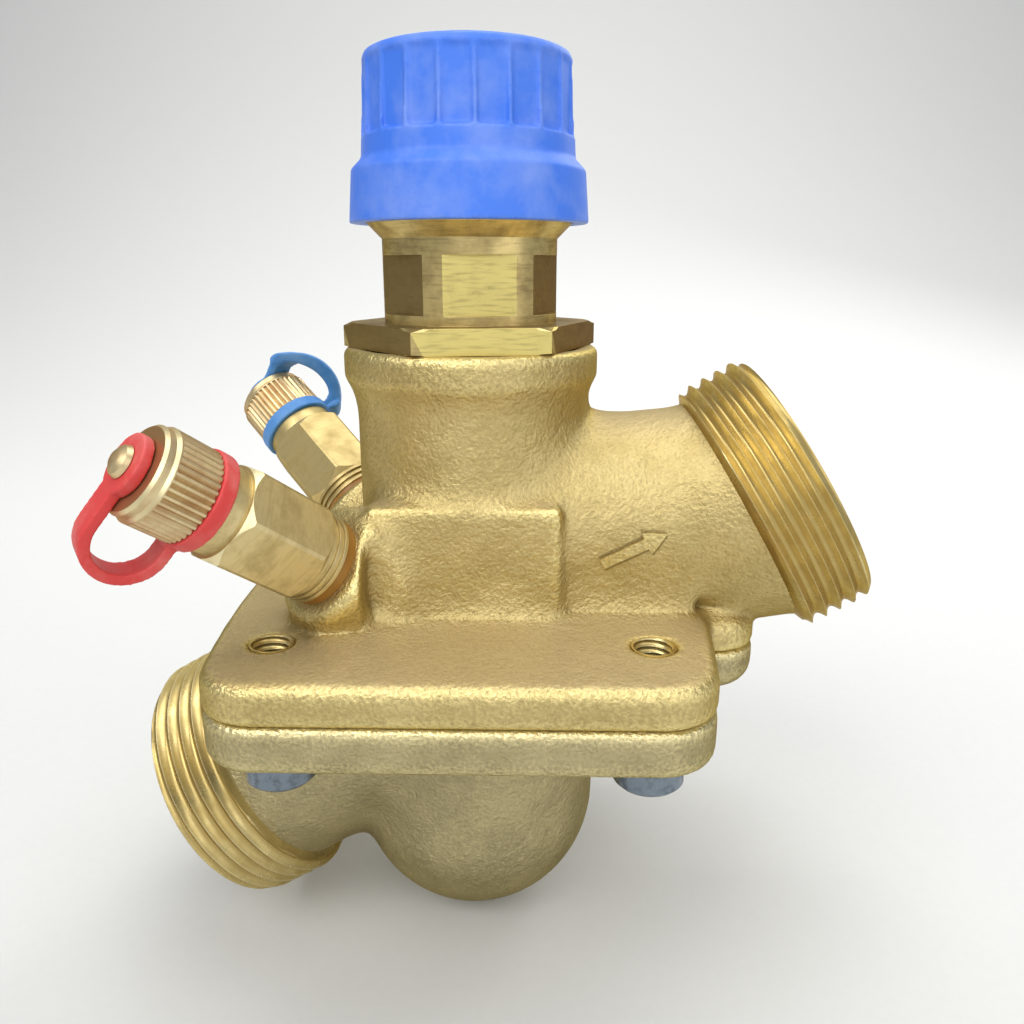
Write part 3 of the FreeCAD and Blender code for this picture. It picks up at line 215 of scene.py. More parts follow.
def skinned(shape, voxel, passes, standout_depth, fillet_at=None, fillet_passes=0):
    """An even skin round a solid, with rounded corners, filled inner corners and how far it stands out
    measured.

    That is how far a point stands out of, or lies in, its smoothed surroundings, as a share of a depth.
    Materials turn it into wear, painted highlight and painted shade.
    """
    standout_passes, step_share = 7, 0.5
    settle_passes, settle_share = 2, 0.4
    mesh = bpy.data.meshes.new("skin")
    shape.to_mesh(mesh)
    shape.free()
    low, high = read_points(mesh).min(axis=0), read_points(mesh).max(axis=0)
    holder = bpy.data.objects.new("skin", mesh)
    remesh = holder.modifiers.new("skin", "REMESH")
    remesh.mode = "VOXEL"
    remesh.voxel_size = voxel
    remesh.use_smooth_shade = True
    skin = evaluated_mesh(holder)
    edges = np.empty(len(skin.edges) * 2, dtype=np.int32)
    skin.edges.foreach_get("vertices", edges)
    edges = edges.reshape(-1, 2)
    points = relaxed(read_points(skin), edges, passes, step_share)
    if fillet_at is not None:
        open_skin = fillet_at(points)[:, None]
        for _ in range(fillet_passes):
            skin.vertices.foreach_set("co", points.ravel())
            skin.update()
            outward = read_points(skin, "normal")
            step = relaxed(points, edges, 1, step_share) - points
            rise = np.maximum(0.0, (step * outward).sum(axis=1, keepdims=True))
            points = points + open_skin * rise * outward
        points = relaxed(points, edges, settle_passes, settle_share)
    points = np.clip(points, low, high)
    skin.vertices.foreach_set("co", points.ravel())
    skin.update()
    outward = read_points(skin, "normal")
    offset = points - relaxed(points, edges, standout_passes, step_share)
    # how far each point stands out; the materials make it wear, painted highlight and painted shade
    wear_and_painted_light = np.clip((offset * outward).sum(axis=1) / standout_depth, -1.0, 1.0)
    for name, values in (("wear_and_painted_light", wear_and_painted_light), ("level", outward[:, 2])):
        softened = relaxed(values[:, None].repeat(3, axis=1), edges, 2, step_share)[:, 0]
        skin.attributes.new(name, "FLOAT", "POINT").data.foreach_set("value", softened)
    return skin


def off_line(points, start, direction):
    """How far points are from a line."""
    offset = points - start
    return np.linalg.norm(offset - np.outer(offset @ direction, direction), axis=1)


def off_screws(points):
    """How far points are from the nearest screw's axis."""
    aside = np.abs(points[:, :2] - FLOW_CENTRE[:2]) - SCREW_REACH
    return np.linalg.norm(aside, axis=1)


def bare_port(shape, flow_sign, run):
    """Takes a port's thread down to a plain core that the threaded end covers."""
    for vert in shape.verts:
        offset = np.array(vert.co) - FLOW_CENTRE
        along = flow_sign * (offset @ FLOW_AXIS)
        spoke = offset - (offset @ FLOW_AXIS) * FLOW_AXIS
        radius = np.linalg.norm(spoke)
        if along < run - THREAD_LENGTH - PORT_SLACK:
            continue
        if radius > NECK_RADIUS + PORT_SLACK:
            spoke *= CORE_RADIUS / radius
        along = min(along, run - CORE_SHORT)
        vert.co = Vector(FLOW_CENTRE + flow_sign * along * FLOW_AXIS + spoke)


def new_piece(name, mesh, finish):
    """A piece in the scene, with one finish."""
    piece = bpy.data.objects.new(name, mesh)
    bpy.context.scene.collection.objects.link(piece)
    mesh.materials.clear()
    mesh.materials.append(finish)
    return piece


def add_piece(name, mesh, body, slot, finish, *nodes):
    """A piece that rides a body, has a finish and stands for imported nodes."""
    piece = new_piece(name, mesh, finish)
    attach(piece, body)
    if nodes:
        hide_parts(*nodes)


def lower_fillets(points):
    """The cover's outer inner-corners, under the flange and clear of bores and screws."""
    return ((points[:, 2] < FLANGE_BOTTOM + EDGE_SLACK)
            & (off_line(points, FLOW_CENTRE, FLOW_AXIS) > BORE_CLEAR)
            & (np.linalg.norm(points - BOWL_CENTRE, axis=1) > BOWL_WALL_MIDDLE)
            & (off_screws(points) > SCREW_HEAD_CLEAR)).astype(float)


lower_shape = merged_copy("lower_cover")
bare_port(lower_shape, -1, INLET_RUN)
lower_brass = cast_brass("cast brass, lower cover", tones=("#ADA17A", "#BFB288"), hollow_and_shade="#75684A",
                         rubbed_and_highlight="#EFE0A8", upward_tone="#B6A882", grain=0.48 * MM, relief=0.2 * MM)
lower_mesh = skinned(lower_shape, CAST_VOXEL, CAST_PASSES, CAST_STANDOUT, lower_fillets, LOWER_FILLET_PASSES)
add_piece("lower_cover_cast", lower_mesh, "valve", "cast_brass", lower_brass, "lower_cover")


# Inlet and outlet port ends: 1 1/4 inch pipe threads, turned on the castings and sealed on their flat faces.
# The thread follows its rule: pitch 2.309 mm, rounded wide valleys, thin crests, a chamfer at each end.

OUTLET_RUN = 59.9 * MM
THREAD_SINK = 0.01 * MM
ROWS_TO_TURN, THREAD_STEPS = 16, 192
THREAD_ROWS = 6 * ROWS_TO_TURN
VALLEY_POWER = 1.8
THREAD_CREASE = 40


def turned_brass(name, body, stain_and_shade, rubbed_and_highlight, axis, line_pitch, scoring, gloss):
    """Machined brass: broken tool lines round an axis, uneven tarnish, dark valleys and bright crests.

    The dark valleys and side faces are painted shade; the bright crests and faces are a painted highlight.
    """
    streak = 4.0 * MM
    material, tree = new_material(name)
    place = add_node(tree, "ShaderNodeTexCoord").outputs["Object"]
    wear_and_painted_light = attribute(tree, "wear_and_painted_light")
    along = add_node(tree, "ShaderNodeVectorMath", {0: place, 1: tuple(axis)}, operation="DOT_PRODUCT")
    drawn = add_node(tree, "ShaderNodeVectorMath", {0: tuple(axis), "Scale": along.outputs["Value"]},
                     operation="SCALE")
    packed = add_node(tree, "ShaderNodeVectorMath",
                      {0: drawn.outputs[0], 1: (streak / line_pitch - 1,) * 3, 2: place},
                      operation="MULTIPLY_ADD")
    lines = noise(tree, packed.outputs[0], streak, 2.0)
    patches = noise(tree, place, 3.5 * MM, 5.0, 0.6)
    tone = mixed(tree, ranged(tree, patches, (0.45, 0.7), (0.0, 0.6)), tint(body), tint(stain_and_shade))
    # painted shade in thread valleys, on the bonnet's side faces and in knurl grooves; copper tarnish on cap
    # ends
    tone = mixed(tree, ranged(tree, wear_and_painted_light, (-0.2, -1.0), (0.0, 0.8)), tone, tint(stain_and_shade))
    # painted highlight on thread crests, the bonnet's front and back faces and the test points' chamfers and
    # rims
    tone = mixed(tree, ranged(tree, wear_and_painted_light, (0.5, 0.95), (0.0, 0.8)), tone, tint(rubbed_and_highlight))
    tone = mixed(tree, ranged(tree, lines, (0.5, 0.68), (0.0, scoring)), tone, tint(stain_and_shade))
    soft_edge = add_node(tree, "ShaderNodeBevel", {"Radius": 0.09 * MM}, samples=6)
    surface(tree, {"Base Color": tone, "Metallic": 0.82, "Specular Tint": tint(stain_and_shade),
                   "Roughness": ranged(tree, patches, (0.3, 0.7), (gloss - 0.06, gloss + 0.1)),
                   "Normal": soft_edge.outputs["Normal"]})
    return material


def pipe_thread_tree():
    """A closed threaded ring along +Z: rows run out over the thread and back along the bore."""
    tree = bpy.data.node_groups.new("pipe thread", "GeometryNodeTree")
    for name in ("Crest Radius", "Root Radius", "Neck Radius", "Bore Radius", "Pitch", "Length", "Chamfer"):
        tree.interface.new_socket(name, in_out="INPUT", socket_type="NodeSocketFloat")
    tree.interface.new_socket("Finish", in_out="INPUT", socket_type="NodeSocketMaterial")
    tree.interface.new_socket("Geometry", in_out="OUTPUT", socket_type="NodeSocketGeometry")
    given = add_node(tree, "NodeGroupInput").outputs
    sheet = add_node(tree, "GeometryNodeMeshGrid",
                     {"Size X": 1.0, "Size Y": 1.0, "Vertices X": THREAD_ROWS + 4,
                      "Vertices Y": THREAD_STEPS + 1})
    spot = add_node(tree, "ShaderNodeSeparateXYZ",
                    {0: add_node(tree, "GeometryNodeInputPosition").outputs[0]})
    last_row = THREAD_ROWS + 3
    row = figure(tree, "MULTIPLY_ADD", spot.outputs["X"], last_row, last_row / 2)
    outward = figure(tree, "LESS_THAN", row, THREAD_ROWS + 1.5)
    inside = figure(tree, "COMPARE", row, THREAD_ROWS + 1.5, 1.0)
    row_turns = figure(tree, "MULTIPLY_ADD", row, 1 / ROWS_TO_TURN, -0.5)
    climbed = figure(tree, "ADD", row_turns, spot.outputs["Y"])
    reach = figure(tree, "MULTIPLY", climbed, given["Pitch"])
    held = add_node(tree, "ShaderNodeClamp", {"Value": reach, "Min": 0.0, "Max": given["Length"]})
    along = figure(tree, "MULTIPLY", held.outputs[0], outward)
    lead = figure(tree, "SUBTRACT", figure(tree, "DIVIDE", along, given["Pitch"]), spot.outputs["Y"])
    slant = figure(tree, "MULTIPLY_ADD", figure(tree, "FRACT", lead), 2.0, -1.0)
    rise = figure(tree, "POWER", figure(tree, "ABSOLUTE", slant), VALLEY_POWER)
    depth = figure(tree, "SUBTRACT", given["Crest Radius"], given["Root Radius"])
    cut = figure(tree, "MULTIPLY_ADD", rise, depth, given["Root Radius"])
    left = figure(tree, "SUBTRACT", given["Length"], along)
    lead_in = figure(tree, "ADD", figure(tree, "SUBTRACT", given["Crest Radius"], given["Chamfer"]), left)
    climb = figure(tree, "SUBTRACT", given["Crest Radius"], given["Neck Radius"])
    slope = figure(tree, "DIVIDE", climb, given["Chamfer"])
    run_out = figure(tree, "MULTIPLY_ADD", slope, along, given["Neck Radius"])
    outer = figure(tree, "MINIMUM", figure(tree, "MINIMUM", cut, lead_in), run_out)
    radius = add_node(tree, "ShaderNodeMix", {0: inside, 2: outer, 3: given["Bore Radius"]},
                      data_type="FLOAT")
    size = figure(tree, "ABSOLUTE", radius.outputs[0])
    angle = figure(tree, "MULTIPLY", spot.outputs["Y"], math.tau)
    target = add_node(tree, "ShaderNodeCombineXYZ",
                      {"X": figure(tree, "MULTIPLY", size, figure(tree, "COSINE", angle)),
                       "Y": figure(tree, "MULTIPLY", size, figure(tree, "SINE", angle)), "Z": along})
    # painted highlight on the crests and painted shade in the valleys
    worn_and_lit = figure(tree, "MULTIPLY_ADD", rise, 2.0, -1.0)
    stored = add_node(tree, "GeometryNodeStoreNamedAttribute",
                      {"Geometry": sheet.outputs["Mesh"], "Name": "wear_and_painted_light", "Value": worn_and_lit},
                      data_type="FLOAT", domain="POINT")
    shaped = add_node(tree, "GeometryNodeSetPosition",
                      {"Geometry": stored.outputs[0], "Position": target.outputs[0]})
    closed = add_node(tree, "GeometryNodeMergeByDistance",
                      {"Geometry": shaped.outputs[0], "Distance": 0.001 * MM})
    smooth = add_node(tree, "GeometryNodeSetShadeSmooth", {"Geometry": closed.outputs[0]})
    real = add_node(tree, "GeometryNodeRealizeInstances", {"Geometry": smooth.outputs[0]})
    dressed = add_node(tree, "GeometryNodeSetMaterial",
                       {"Geometry": real.outputs[0], "Material": given["Finish"]})
    add_node(tree, "NodeGroupOutput", {"Geometry": dressed.outputs[0]})
    return tree


def marked(mesh, rule):
    """Gives each face the value a rule finds from its middle and normal: tarnish, painted highlight, painted
    shade.
    """
    worn_and_lit = [rule(face.center, face.normal) for face in mesh.polygons]
    mesh.attributes.new("wear_and_painted_light", "FLOAT", "FACE").data.foreach_set("value", worn_and_lit)
    return mesh


def evened(shape, sharp_angle):
    """A mesh from a shape, faces outwards, smooth but for edges sharper than an angle.

    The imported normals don't fit the joined shape, so they go.
    """
    bmesh.ops.recalc_face_normals(shape, faces=shape.faces)
    if shape.calc_volume(signed=True) < 0:
        bmesh.ops.reverse_faces(shape, faces=shape.faces)
    mesh = bpy.data.meshes.new("evened")
    shape.to_mesh(mesh)
    shape.free()
    packed_normals = mesh.attributes.get("custom_normal")
    if packed_normals:
        mesh.attributes.remove(packed_normals)
    mesh.polygons.foreach_set("use_smooth", [True] * len(mesh.polygons))
    mesh.set_sharp_from_angle(angle=math.radians(sharp_angle))
    return mesh


thread_brass = turned_brass("turned brass, port threads", body="#D9C588", stain_and_shade="#B39A5C", rubbed_and_highlight="#EADCAA",
                            axis=FLOW_AXIS, line_pitch=0.4 * MM, scoring=0.2, gloss=0.28)
thread_tree = pipe_thread_tree()


def threaded_ring(sizes):
    """A threaded ring of given sizes along +Z, as a shape. Negative radii make an inner thread."""
    holder = bpy.data.objects.new("thread", bpy.data.meshes.new("thread"))
    maker = holder.modifiers.new("thread", "NODES")
    maker.node_group = thread_tree
    for socket in thread_tree.interface.items_tree:
        if socket.in_out == "INPUT":
            maker[socket.identifier] = sizes[socket.name]
    shape = bmesh.new()
    shape.from_mesh(evaluated_mesh(holder))
    return shape


for name, flow_sign, run in (("inlet", -1, INLET_RUN), ("outlet", 1, OUTLET_RUN)):
    shape = threaded_ring({"Crest Radius": 20.95 * MM, "Root Radius": 19.85 * MM, "Neck Radius": NECK_RADIUS,
                           "Bore Radius": 13.42 * MM, "Pitch": 2.309 * MM, "Length": THREAD_LENGTH,
                           "Chamfer": 1.0 * MM, "Finish": thread_brass})
    heading = Vector(flow_sign * FLOW_AXIS)
    start = Vector(FLOW_CENTRE) + (run - THREAD_LENGTH - THREAD_SINK) * heading
    shape.transform(Matrix.Translation(start) @ heading.to_track_quat("Z", "Y").to_matrix().to_4x4())
    add_piece(f"{name}_thread", evened(shape, THREAD_CREASE), "valve", "machined_brass", thread_brass)


# Upper body: one brass casting with the flange's upper half, neck, outlet duct, pad and test point bosses.
# Sand cast like the cover; only the collar's top and the screw holes are machined.

COLLAR_TOP = 75.05 * MM
FLANGE_TOP = 37.3 * MM
COLLAR_CLEAR, STEM_BORE_CLEAR, SCREW_HOLE_CLEAR, TEST_CLEAR = 1.5 * MM, 15.8 * MM, 5.0 * MM, 6.6 * MM
UPPER_FILLET_PASSES = 100
TEST_START = np.array((43.301, 0.0, 26.6)) * MM
TEST_AXES = {"red": np.array((-0.57948, -0.56747, 0.58496)),
             "blue": np.array((-0.65114, 0.48358, 0.58496))}


def upper_fillets(points):
    """The body's outer inner-corners, above the flange and clear of bores, screws and test points."""
    clear = ((points[:, 2] > FLANGE_TOP - EDGE_SLACK) & (points[:, 2] < COLLAR_TOP - COLLAR_CLEAR)
             & (off_line(points, FLOW_CENTRE, FLOW_AXIS) > BORE_CLEAR)
             & (off_line(points, FLOW_CENTRE, STEM_AXIS) > STEM_BORE_CLEAR)
             & (off_screws(points) > SCREW_HOLE_CLEAR))
    for axis in TEST_AXES.values():
        clear &= off_line(points, TEST_START, axis) > TEST_CLEAR
    return clear.astype(float)


upper_shape = merged_copy("upper_body")
bare_port(upper_shape, 1, OUTLET_RUN)
upper_brass = cast_brass("cast brass, upper body", tones=("#C2AE76", "#D0BC84"), hollow_and_shade="#7E6C42",
                         rubbed_and_highlight="#F2E09C", upward_tone="#C9B68C", grain=0.5 * MM, relief=0.2 * MM)
upper_mesh = skinned(upper_shape, CAST_VOXEL, CAST_PASSES, CAST_STANDOUT, upper_fillets, UPPER_FILLET_PASSES)
add_piece("upper_body_cast", upper_mesh, "valve", "cast_brass", upper_brass, "upper_body")


# Screw hole threads: four M6 threads tapped down from the flange's top, open above the screws.
# Cut in the casting, so they are the same brass, bright and crisp where the casting is dull and round.

HOLE_DEPTH = 2.4 * MM
HOLE_SINK = 0.03 * MM

tapped = bmesh.new()
for side_x in (-1, 1):
    for side_y in (-1, 1):
        shape = threaded_ring({"Crest Radius": -2.5 * MM, "Root Radius": -2.86 * MM,
                               "Neck Radius": -2.88 * MM, "Bore Radius": -3.08 * MM, "Pitch": 1.0 * MM,
                               "Length": HOLE_DEPTH, "Chamfer": 0.3 * MM, "Finish": thread_brass})
        corner = FLOW_CENTRE + np.array((side_x, side_y, 0.0)) * SCREW_REACH
        shape.transform(Matrix.Translation((corner[0], corner[1], FLANGE_TOP - HOLE_SINK - HOLE_DEPTH)))
        ring_mesh = bpy.data.meshes.new("tapped_ring")
        shape.to_mesh(ring_mesh)
        shape.free()
        tapped.from_mesh(ring_mesh)
add_piece("screw_hole_threads", evened(tapped, THREAD_CREASE), "valve", "machined_brass", thread_brass)


# Flow arrow: a plain sign cast proud of the outlet duct's front, pointing up to the outlet.
# Its face follows the duct, and its sides are drafted as in a sand mould. Each layer has its lift off the
# duct, its flare past the outline and its value for the brass. The second and third layers' negative values
# paint shade round the sign's foot as a dark outline; the top's value brightens it as on rubbed corners.

ARROW_TAIL = FLOW_CENTRE + np.array((19.5, 0.0, 20.7)) * MM
ARROW_TURN = math.radians(27)
SHAFT_LENGTH, SHAFT_HALF = 6.9 * MM, 0.75 * MM
HEAD_START, HEAD_LENGTH, HEAD_HALF, TIP_HALF = 7.0 * MM, 3.0 * MM, 1.65 * MM, 0.06 * MM
ARROW_PROFILE = [(along, SHAFT_HALF) for along in np.linspace(0, SHAFT_LENGTH, 12)]
ARROW_PROFILE += [(HEAD_START + share * HEAD_LENGTH, (1.0 - share) * HEAD_HALF + TIP_HALF)
                  for share in np.linspace(0, 1, 8)]
ARROW_LANES = np.linspace(-1, 1, 7)
# the second and third layers' values paint shade round the sign as a dark outline
ARROW_LAYERS = [(0.5 * MM, 0.0, 0.3), (0.05 * MM, 0.16 * MM, -1.0), (0.03 * MM, 0.5 * MM, -0.9),
                (-0.2 * MM, 0.55 * MM, 0.0)]
IN_FRONT = -0.1

duct_tree = BVHTree.FromPolygons([vert.co for vert in upper_mesh.vertices],
                                 [face.vertices for face in upper_mesh.polygons])
arrow_shape = bmesh.new()
arrow_painted_light = arrow_shape.verts.layers.float.new("wear_and_painted_light")
layers = []
for lift, flare, wear_and_painted_light in ARROW_LAYERS:
    layer = []
    for along, half in ARROW_PROFILE:
        for lane in ARROW_LANES:
            across = lane * (half + flare)
            x = ARROW_TAIL[0] + along * math.cos(ARROW_TURN) - across * math.sin(ARROW_TURN)
            z = ARROW_TAIL[2] + along * math.sin(ARROW_TURN) + across * math.cos(ARROW_TURN)
            hit = duct_tree.ray_cast(Vector((x, IN_FRONT, z)), Vector((0, 1, 0)))[0]
            vert = arrow_shape.verts.new((x, hit.y - lift, z))
            vert[arrow_painted_light] = wear_and_painted_light
            layer.append(vert)
    layers.append(layer)
rows, lanes = len(ARROW_PROFILE), len(ARROW_LANES)
for layer in (layers[0], layers[-1]):
    for row in range(rows - 1):
        for lane in range(lanes - 1):
            first = row * lanes + lane
            beyond = first + lanes
            arrow_shape.faces.new([layer[first], layer[first + 1], layer[beyond + 1], layer[beyond]])
rim = [row * lanes for row in range(rows)] + list(range((rows - 1) * lanes + 1, rows * lanes))
rim += [row * lanes + lanes - 1 for row in range(rows - 2, -1, -1)] + list(range(lanes - 2, 0, -1))
for upper, lower in zip(layers, layers[1:]):
    for here, there in zip(rim, rim[1:] + rim[:1]):
        arrow_shape.faces.new([upper[here], upper[there], lower[there], lower[here]])
add_piece("flow_arrow", evened(arrow_shape, sharp_angle=50), "valve", "cast_brass", upper_brass)


# Flange screws: four zinc-plated socket head screws, put in from below.
# Rolled steel with a thin bluish plating that has dulled in patches.

def zinc_plate(name, body, dull, axis):
    """Zinc plating on steel: bluish, patchy, with fine lines from turning."""
    material, tree = new_material(name)
    place = add_node(tree, "ShaderNodeTexCoord").outputs["Object"]
    patches = noise(tree, place, 2.2 * MM, 6.0, 0.65)
    along = add_node(tree, "ShaderNodeVectorMath", {0: place, 1: tuple(axis)}, operation="DOT_PRODUCT")
    lines = add_node(tree, "ShaderNodeTexNoise",
                     {"W": along.outputs["Value"], "Scale": 1 / (0.2 * MM), "Detail": 2.0},
                     noise_dimensions="1D")
    soft_edge = add_node(tree, "ShaderNodeBevel", {"Radius": 0.15 * MM}, samples=6)
    bump = add_node(tree, "ShaderNodeBump",
                    {"Strength": 0.5, "Distance": 0.02 * MM, "Height": lines.outputs["Fac"],
                     "Normal": soft_edge.outputs["Normal"]})
    surface(tree, {"Base Color": mixed(tree, ranged(tree, patches, (0.5, 0.66)), tint(body), tint(dull)),
                   "Metallic": 1.0, "Roughness": ranged(tree, patches, (0.35, 0.65), (0.22, 0.45)),
                   "Normal": bump.outputs["Normal"]})
    return material


zinc = zinc_plate("zinc plated steel", body="#7F8A95", dull="#626A72", axis=STEM_AXIS)
screw_mesh = evened(merged_copy("flange_screws"), sharp_angle=30)
add_piece("flange_screws_plated", screw_mesh, "valve", "zinc_steel", zinc, "flange_screws")


# Regulator and stem works inside the castings: moulded, turned, drawn and rubber pieces.
# Little of them shows, through the ports, but each has its real material for when the valve is opened up.

def moulded(name, body, worn_and_lit, speck, gloss, relief):
    """Moulded plastic or rubber: an even colour, paler where rubbed, with a fine mould texture."""
    material, tree = new_material(name)
    place = add_node(tree, "ShaderNodeTexCoord").outputs["Object"]
    cloud = noise(tree, place, 6 * MM, 5.0, 0.6)
    grit = noise(tree, place, speck, 3.0, 0.6)
    rubbed_and_highlight = ranged(tree, attribute(tree, "wear_and_painted_light"), (0.4, 1.0), (0.0, 0.3))
    chalk = figure(tree, "MULTIPLY", rubbed_and_highlight, ranged(tree, grit, (0.35, 0.6)))
    tone = mixed(tree, ranged(tree, cloud, (0.42, 0.72), (0.0, 0.5)), tint(body), tint(worn_and_lit))
    tone = mixed(tree, chalk, tone, tint(worn_and_lit))
    bump = add_node(tree, "ShaderNodeBump", {"Strength": 0.5, "Distance": relief, "Height": grit})
    surface(tree, {"Base Color": tone, "Normal": bump.outputs["Normal"],
                   "Roughness": ranged(tree, cloud, (0.3, 0.7), (gloss - 0.07, gloss + 0.08))})
    return material


black_rubber = moulded("black seal rubber", body="#1B1B1C", worn_and_lit="#4A4A4B", speck=0.3 * MM, gloss=0.6,
                       relief=0.02 * MM)
inner_plastic = moulded("dark glass-filled plastic", body="#26272A", worn_and_lit="#5A5B5F", speck=0.25 * MM,
                        gloss=0.45, relief=0.02 * MM)
spring_steel = zinc_plate("drawn spring steel", body="#B4B6BA", dull="#8A8C90", axis=STEM_AXIS)
stem_brass = turned_brass("turned brass, stem works", body="#DCC173", stain_and_shade="#B0924B", rubbed_and_highlight="#F2E2A4",
                          axis=STEM_AXIS, line_pitch=0.4 * MM, scoring=0.2, gloss=0.26)
INNER_FINISHES = {
    "diaphragm_plate": zinc, "regulator_plug": inner_plastic, "seat_insert": inner_plastic,
    "control_plug": stem_brass, "plug_seal": black_rubber, "stem": spring_steel,
    "bonnet_o_ring": black_rubber, "gland_nut": stem_brass, "stem_o_ring": black_rubber,
    "red_test_core": black_rubber, "blue_test_core": black_rubber}
for node, finish in INNER_FINISHES.items():
    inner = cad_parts[node].data
    inner.materials.clear()
    inner.materials.append(finish)


# Springs: coiled steel wire. The lower one is pressed between regulator plug and seat insert, the upper one
# lifts the stem.

def add_flexing(name, mesh, bodies, start, end, slot, finish, *nodes):
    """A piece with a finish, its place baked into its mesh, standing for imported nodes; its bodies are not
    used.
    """
    piece = new_piece(name, mesh, finish)
    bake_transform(piece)
    if nodes:
        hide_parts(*nodes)


for node, bodies in (("regulator_spring", ("regulator", "valve")), ("stem_spring", ("valve", "stem"))):
    coil = evened(merged_copy(node), sharp_angle=40)
    levels = read_points(coil)[:, 2]
    foot = (FLOW_CENTRE[0], FLOW_CENTRE[1], levels.min())
    head = (FLOW_CENTRE[0], FLOW_CENTRE[1], levels.max())
    add_flexing(f"{node}_coil", coil, bodies, foot, head, "spring_steel", spring_steel, node)


# Diaphragm: black rubber, clamped by its bead in the joint and by its plate on the regulator plug.
# Made in wedges.

WEDGES = 12
FIRST_CUT = math.radians(8.3)
ROLL_INNER, ROLL_OUTER = 20.2 * MM, 27.0 * MM

for number in range(WEDGES):
    wedge = merged_copy("diaphragm")
    for cut, side in ((number, 1), (number + 1, -1)):
        turn = FIRST_CUT + cut * math.tau / WEDGES
        inward = side * Vector((-math.sin(turn), math.cos(turn), 0.0))
        bmesh.ops.bisect_plane(wedge, geom=wedge.verts[:] + wedge.edges[:] + wedge.faces[:],
                               plane_co=Vector(FLOW_CENTRE), plane_no=inward, clear_inner=True)
        bmesh.ops.holes_fill(wedge, edges=[edge for edge in wedge.edges if edge.is_boundary])
    middle = FIRST_CUT + (number + 0.5) * math.tau / WEDGES
    heading = np.array((math.cos(middle), math.sin(middle), 0.0))
    nodes = ("diaphragm",) if number == 0 else ()
    add_flexing(f"diaphragm_wedge_{number + 1}", evened(wedge, sharp_angle=40), ("regulator", "valve"),
                FLOW_CENTRE + ROLL_INNER * heading, FLOW_CENTRE + ROLL_OUTER * heading, "black_rubber",
                black_rubber, *nodes)


# Bonnet: turned brass neck with milled flats, on a hexagon that seats on the collar.
# Screwed into the body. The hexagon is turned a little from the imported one, as the photograph shows it, and
# its corners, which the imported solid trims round, are sharp.

FLAT_REACH, HEX_REACH, REACH_SLACK = 11.85 * MM, 16.5 * MM, 0.1 * MM
HEX_LOW, HEX_HIGH = 75.0 * MM, 78.75 * MM
HEX_ROOT, HEX_TRIMMED, HEX_CORNER = 13.5 * MM, 18.35 * MM, 19.05 * MM
HEX_TURN = math.radians(8)
SIXTH = math.pi / 3


def bonnet_painted_light(middle, normal):
    """Painted highlight on milled faces facing front and back, and painted shade on the side ones."""
    reach = (middle.x - FLOW_CENTRE[0]) * normal.x + middle.y * normal.y
    milled = abs(reach - FLAT_REACH) < REACH_SLACK or abs(reach - HEX_REACH) < REACH_SLACK
    if not milled or abs(normal.z) > 0.1:
        return 0.0
    return 1.0 if abs(normal.y) > 0.9 else -1.0


bonnet_shape = merged_copy("bonnet")
hexagon = {}
for vert in bonnet_shape.verts:
    spoke = complex(vert.co.x - FLOW_CENTRE[0], vert.co.y)
    if HEX_LOW < vert.co.z < HEX_HIGH and abs(spoke) > HEX_ROOT:
        hexagon[vert] = spoke
corner_angles = np.array([np.angle(spoke) for spoke in hexagon.values() if abs(spoke) > HEX_TRIMMED])
bearing = np.angle(np.exp(6j * corner_angles).mean()) / 6
for vert, spoke in hexagon.items():
    if abs(spoke) > HEX_TRIMMED:
        corner = round((np.angle(spoke) - bearing) / SIXTH)
        spoke = HEX_CORNER * np.exp(1j * (bearing + corner * SIXTH))
    spoke *= np.exp(1j * HEX_TURN)
    vert.co.x = FLOW_CENTRE[0] + spoke.real
    vert.co.y = spoke.imag
joined(bonnet_shape)
# the dark brown is tarnish and the painted shade on the side faces; the pale yellow is the painted highlight
bonnet_brass = turned_brass("turned brass, bonnet", body="#D8C284", stain_and_shade="#86704A", rubbed_and_highlight="#F8E68E",
                            axis=STEM_AXIS, line_pitch=0.4 * MM, scoring=0.35, gloss=0.3)
# painted highlight on milled faces facing front and back, painted shade on the side ones
bonnet_mesh = marked(evened(bonnet_shape, sharp_angle=18), bonnet_painted_light)
add_piece("bonnet_turned", bonnet_mesh, "valve", "machined_brass", bonnet_brass, "bonnet")


# Hand cap: blue moulded plastic with a fluted grip over a plain skirt.
# Its corners are round and rubbed chalky with use.

cap_blue = moulded("blue moulded plastic", body="#3F78E6", worn_and_lit="#8CA5E8", speck=0.3 * MM, gloss=0.5,
                   relief=0.02 * MM)
cap_mesh = skinned(merged_copy("protection_cap"), voxel=0.28 * MM, passes=2, standout_depth=0.07 * MM)
add_piece("protection_cap_moulded", cap_mesh, "cap", "blue_plastic", cap_blue, "protection_cap")


# Test points: on each, a seal ring, a brass hexagon body, a knurled cap and a rubber strap.
# The strap's eyelet is on the cap's stud and its ring lies in the body's groove.

TEST_REACH = {"red": 34.3 * MM, "blue": 32.3 * MM}
RING_LEVEL, STUD_START, EYELET_LEVEL = 20.9 * MM, 29.8 * MM, 30.5 * MM
STRAP_TURNS = {"red": (0.0, 0.0), "blue": (33.0, -32.0)}
TEST_BODY_TONES = {"red": "#E0CF9C", "blue": "#C6B27C"}
STRAP_DRAW = {"red": 0.0, "blue": 2.4 * MM}
STRAP_SWELL = {"red": 0.0, "blue": 0.45 * MM}
STRAP_ROOT, STRAP_END = 7.0 * MM, 12.4 * MM
LEANING, FACING = 0.15, 0.95


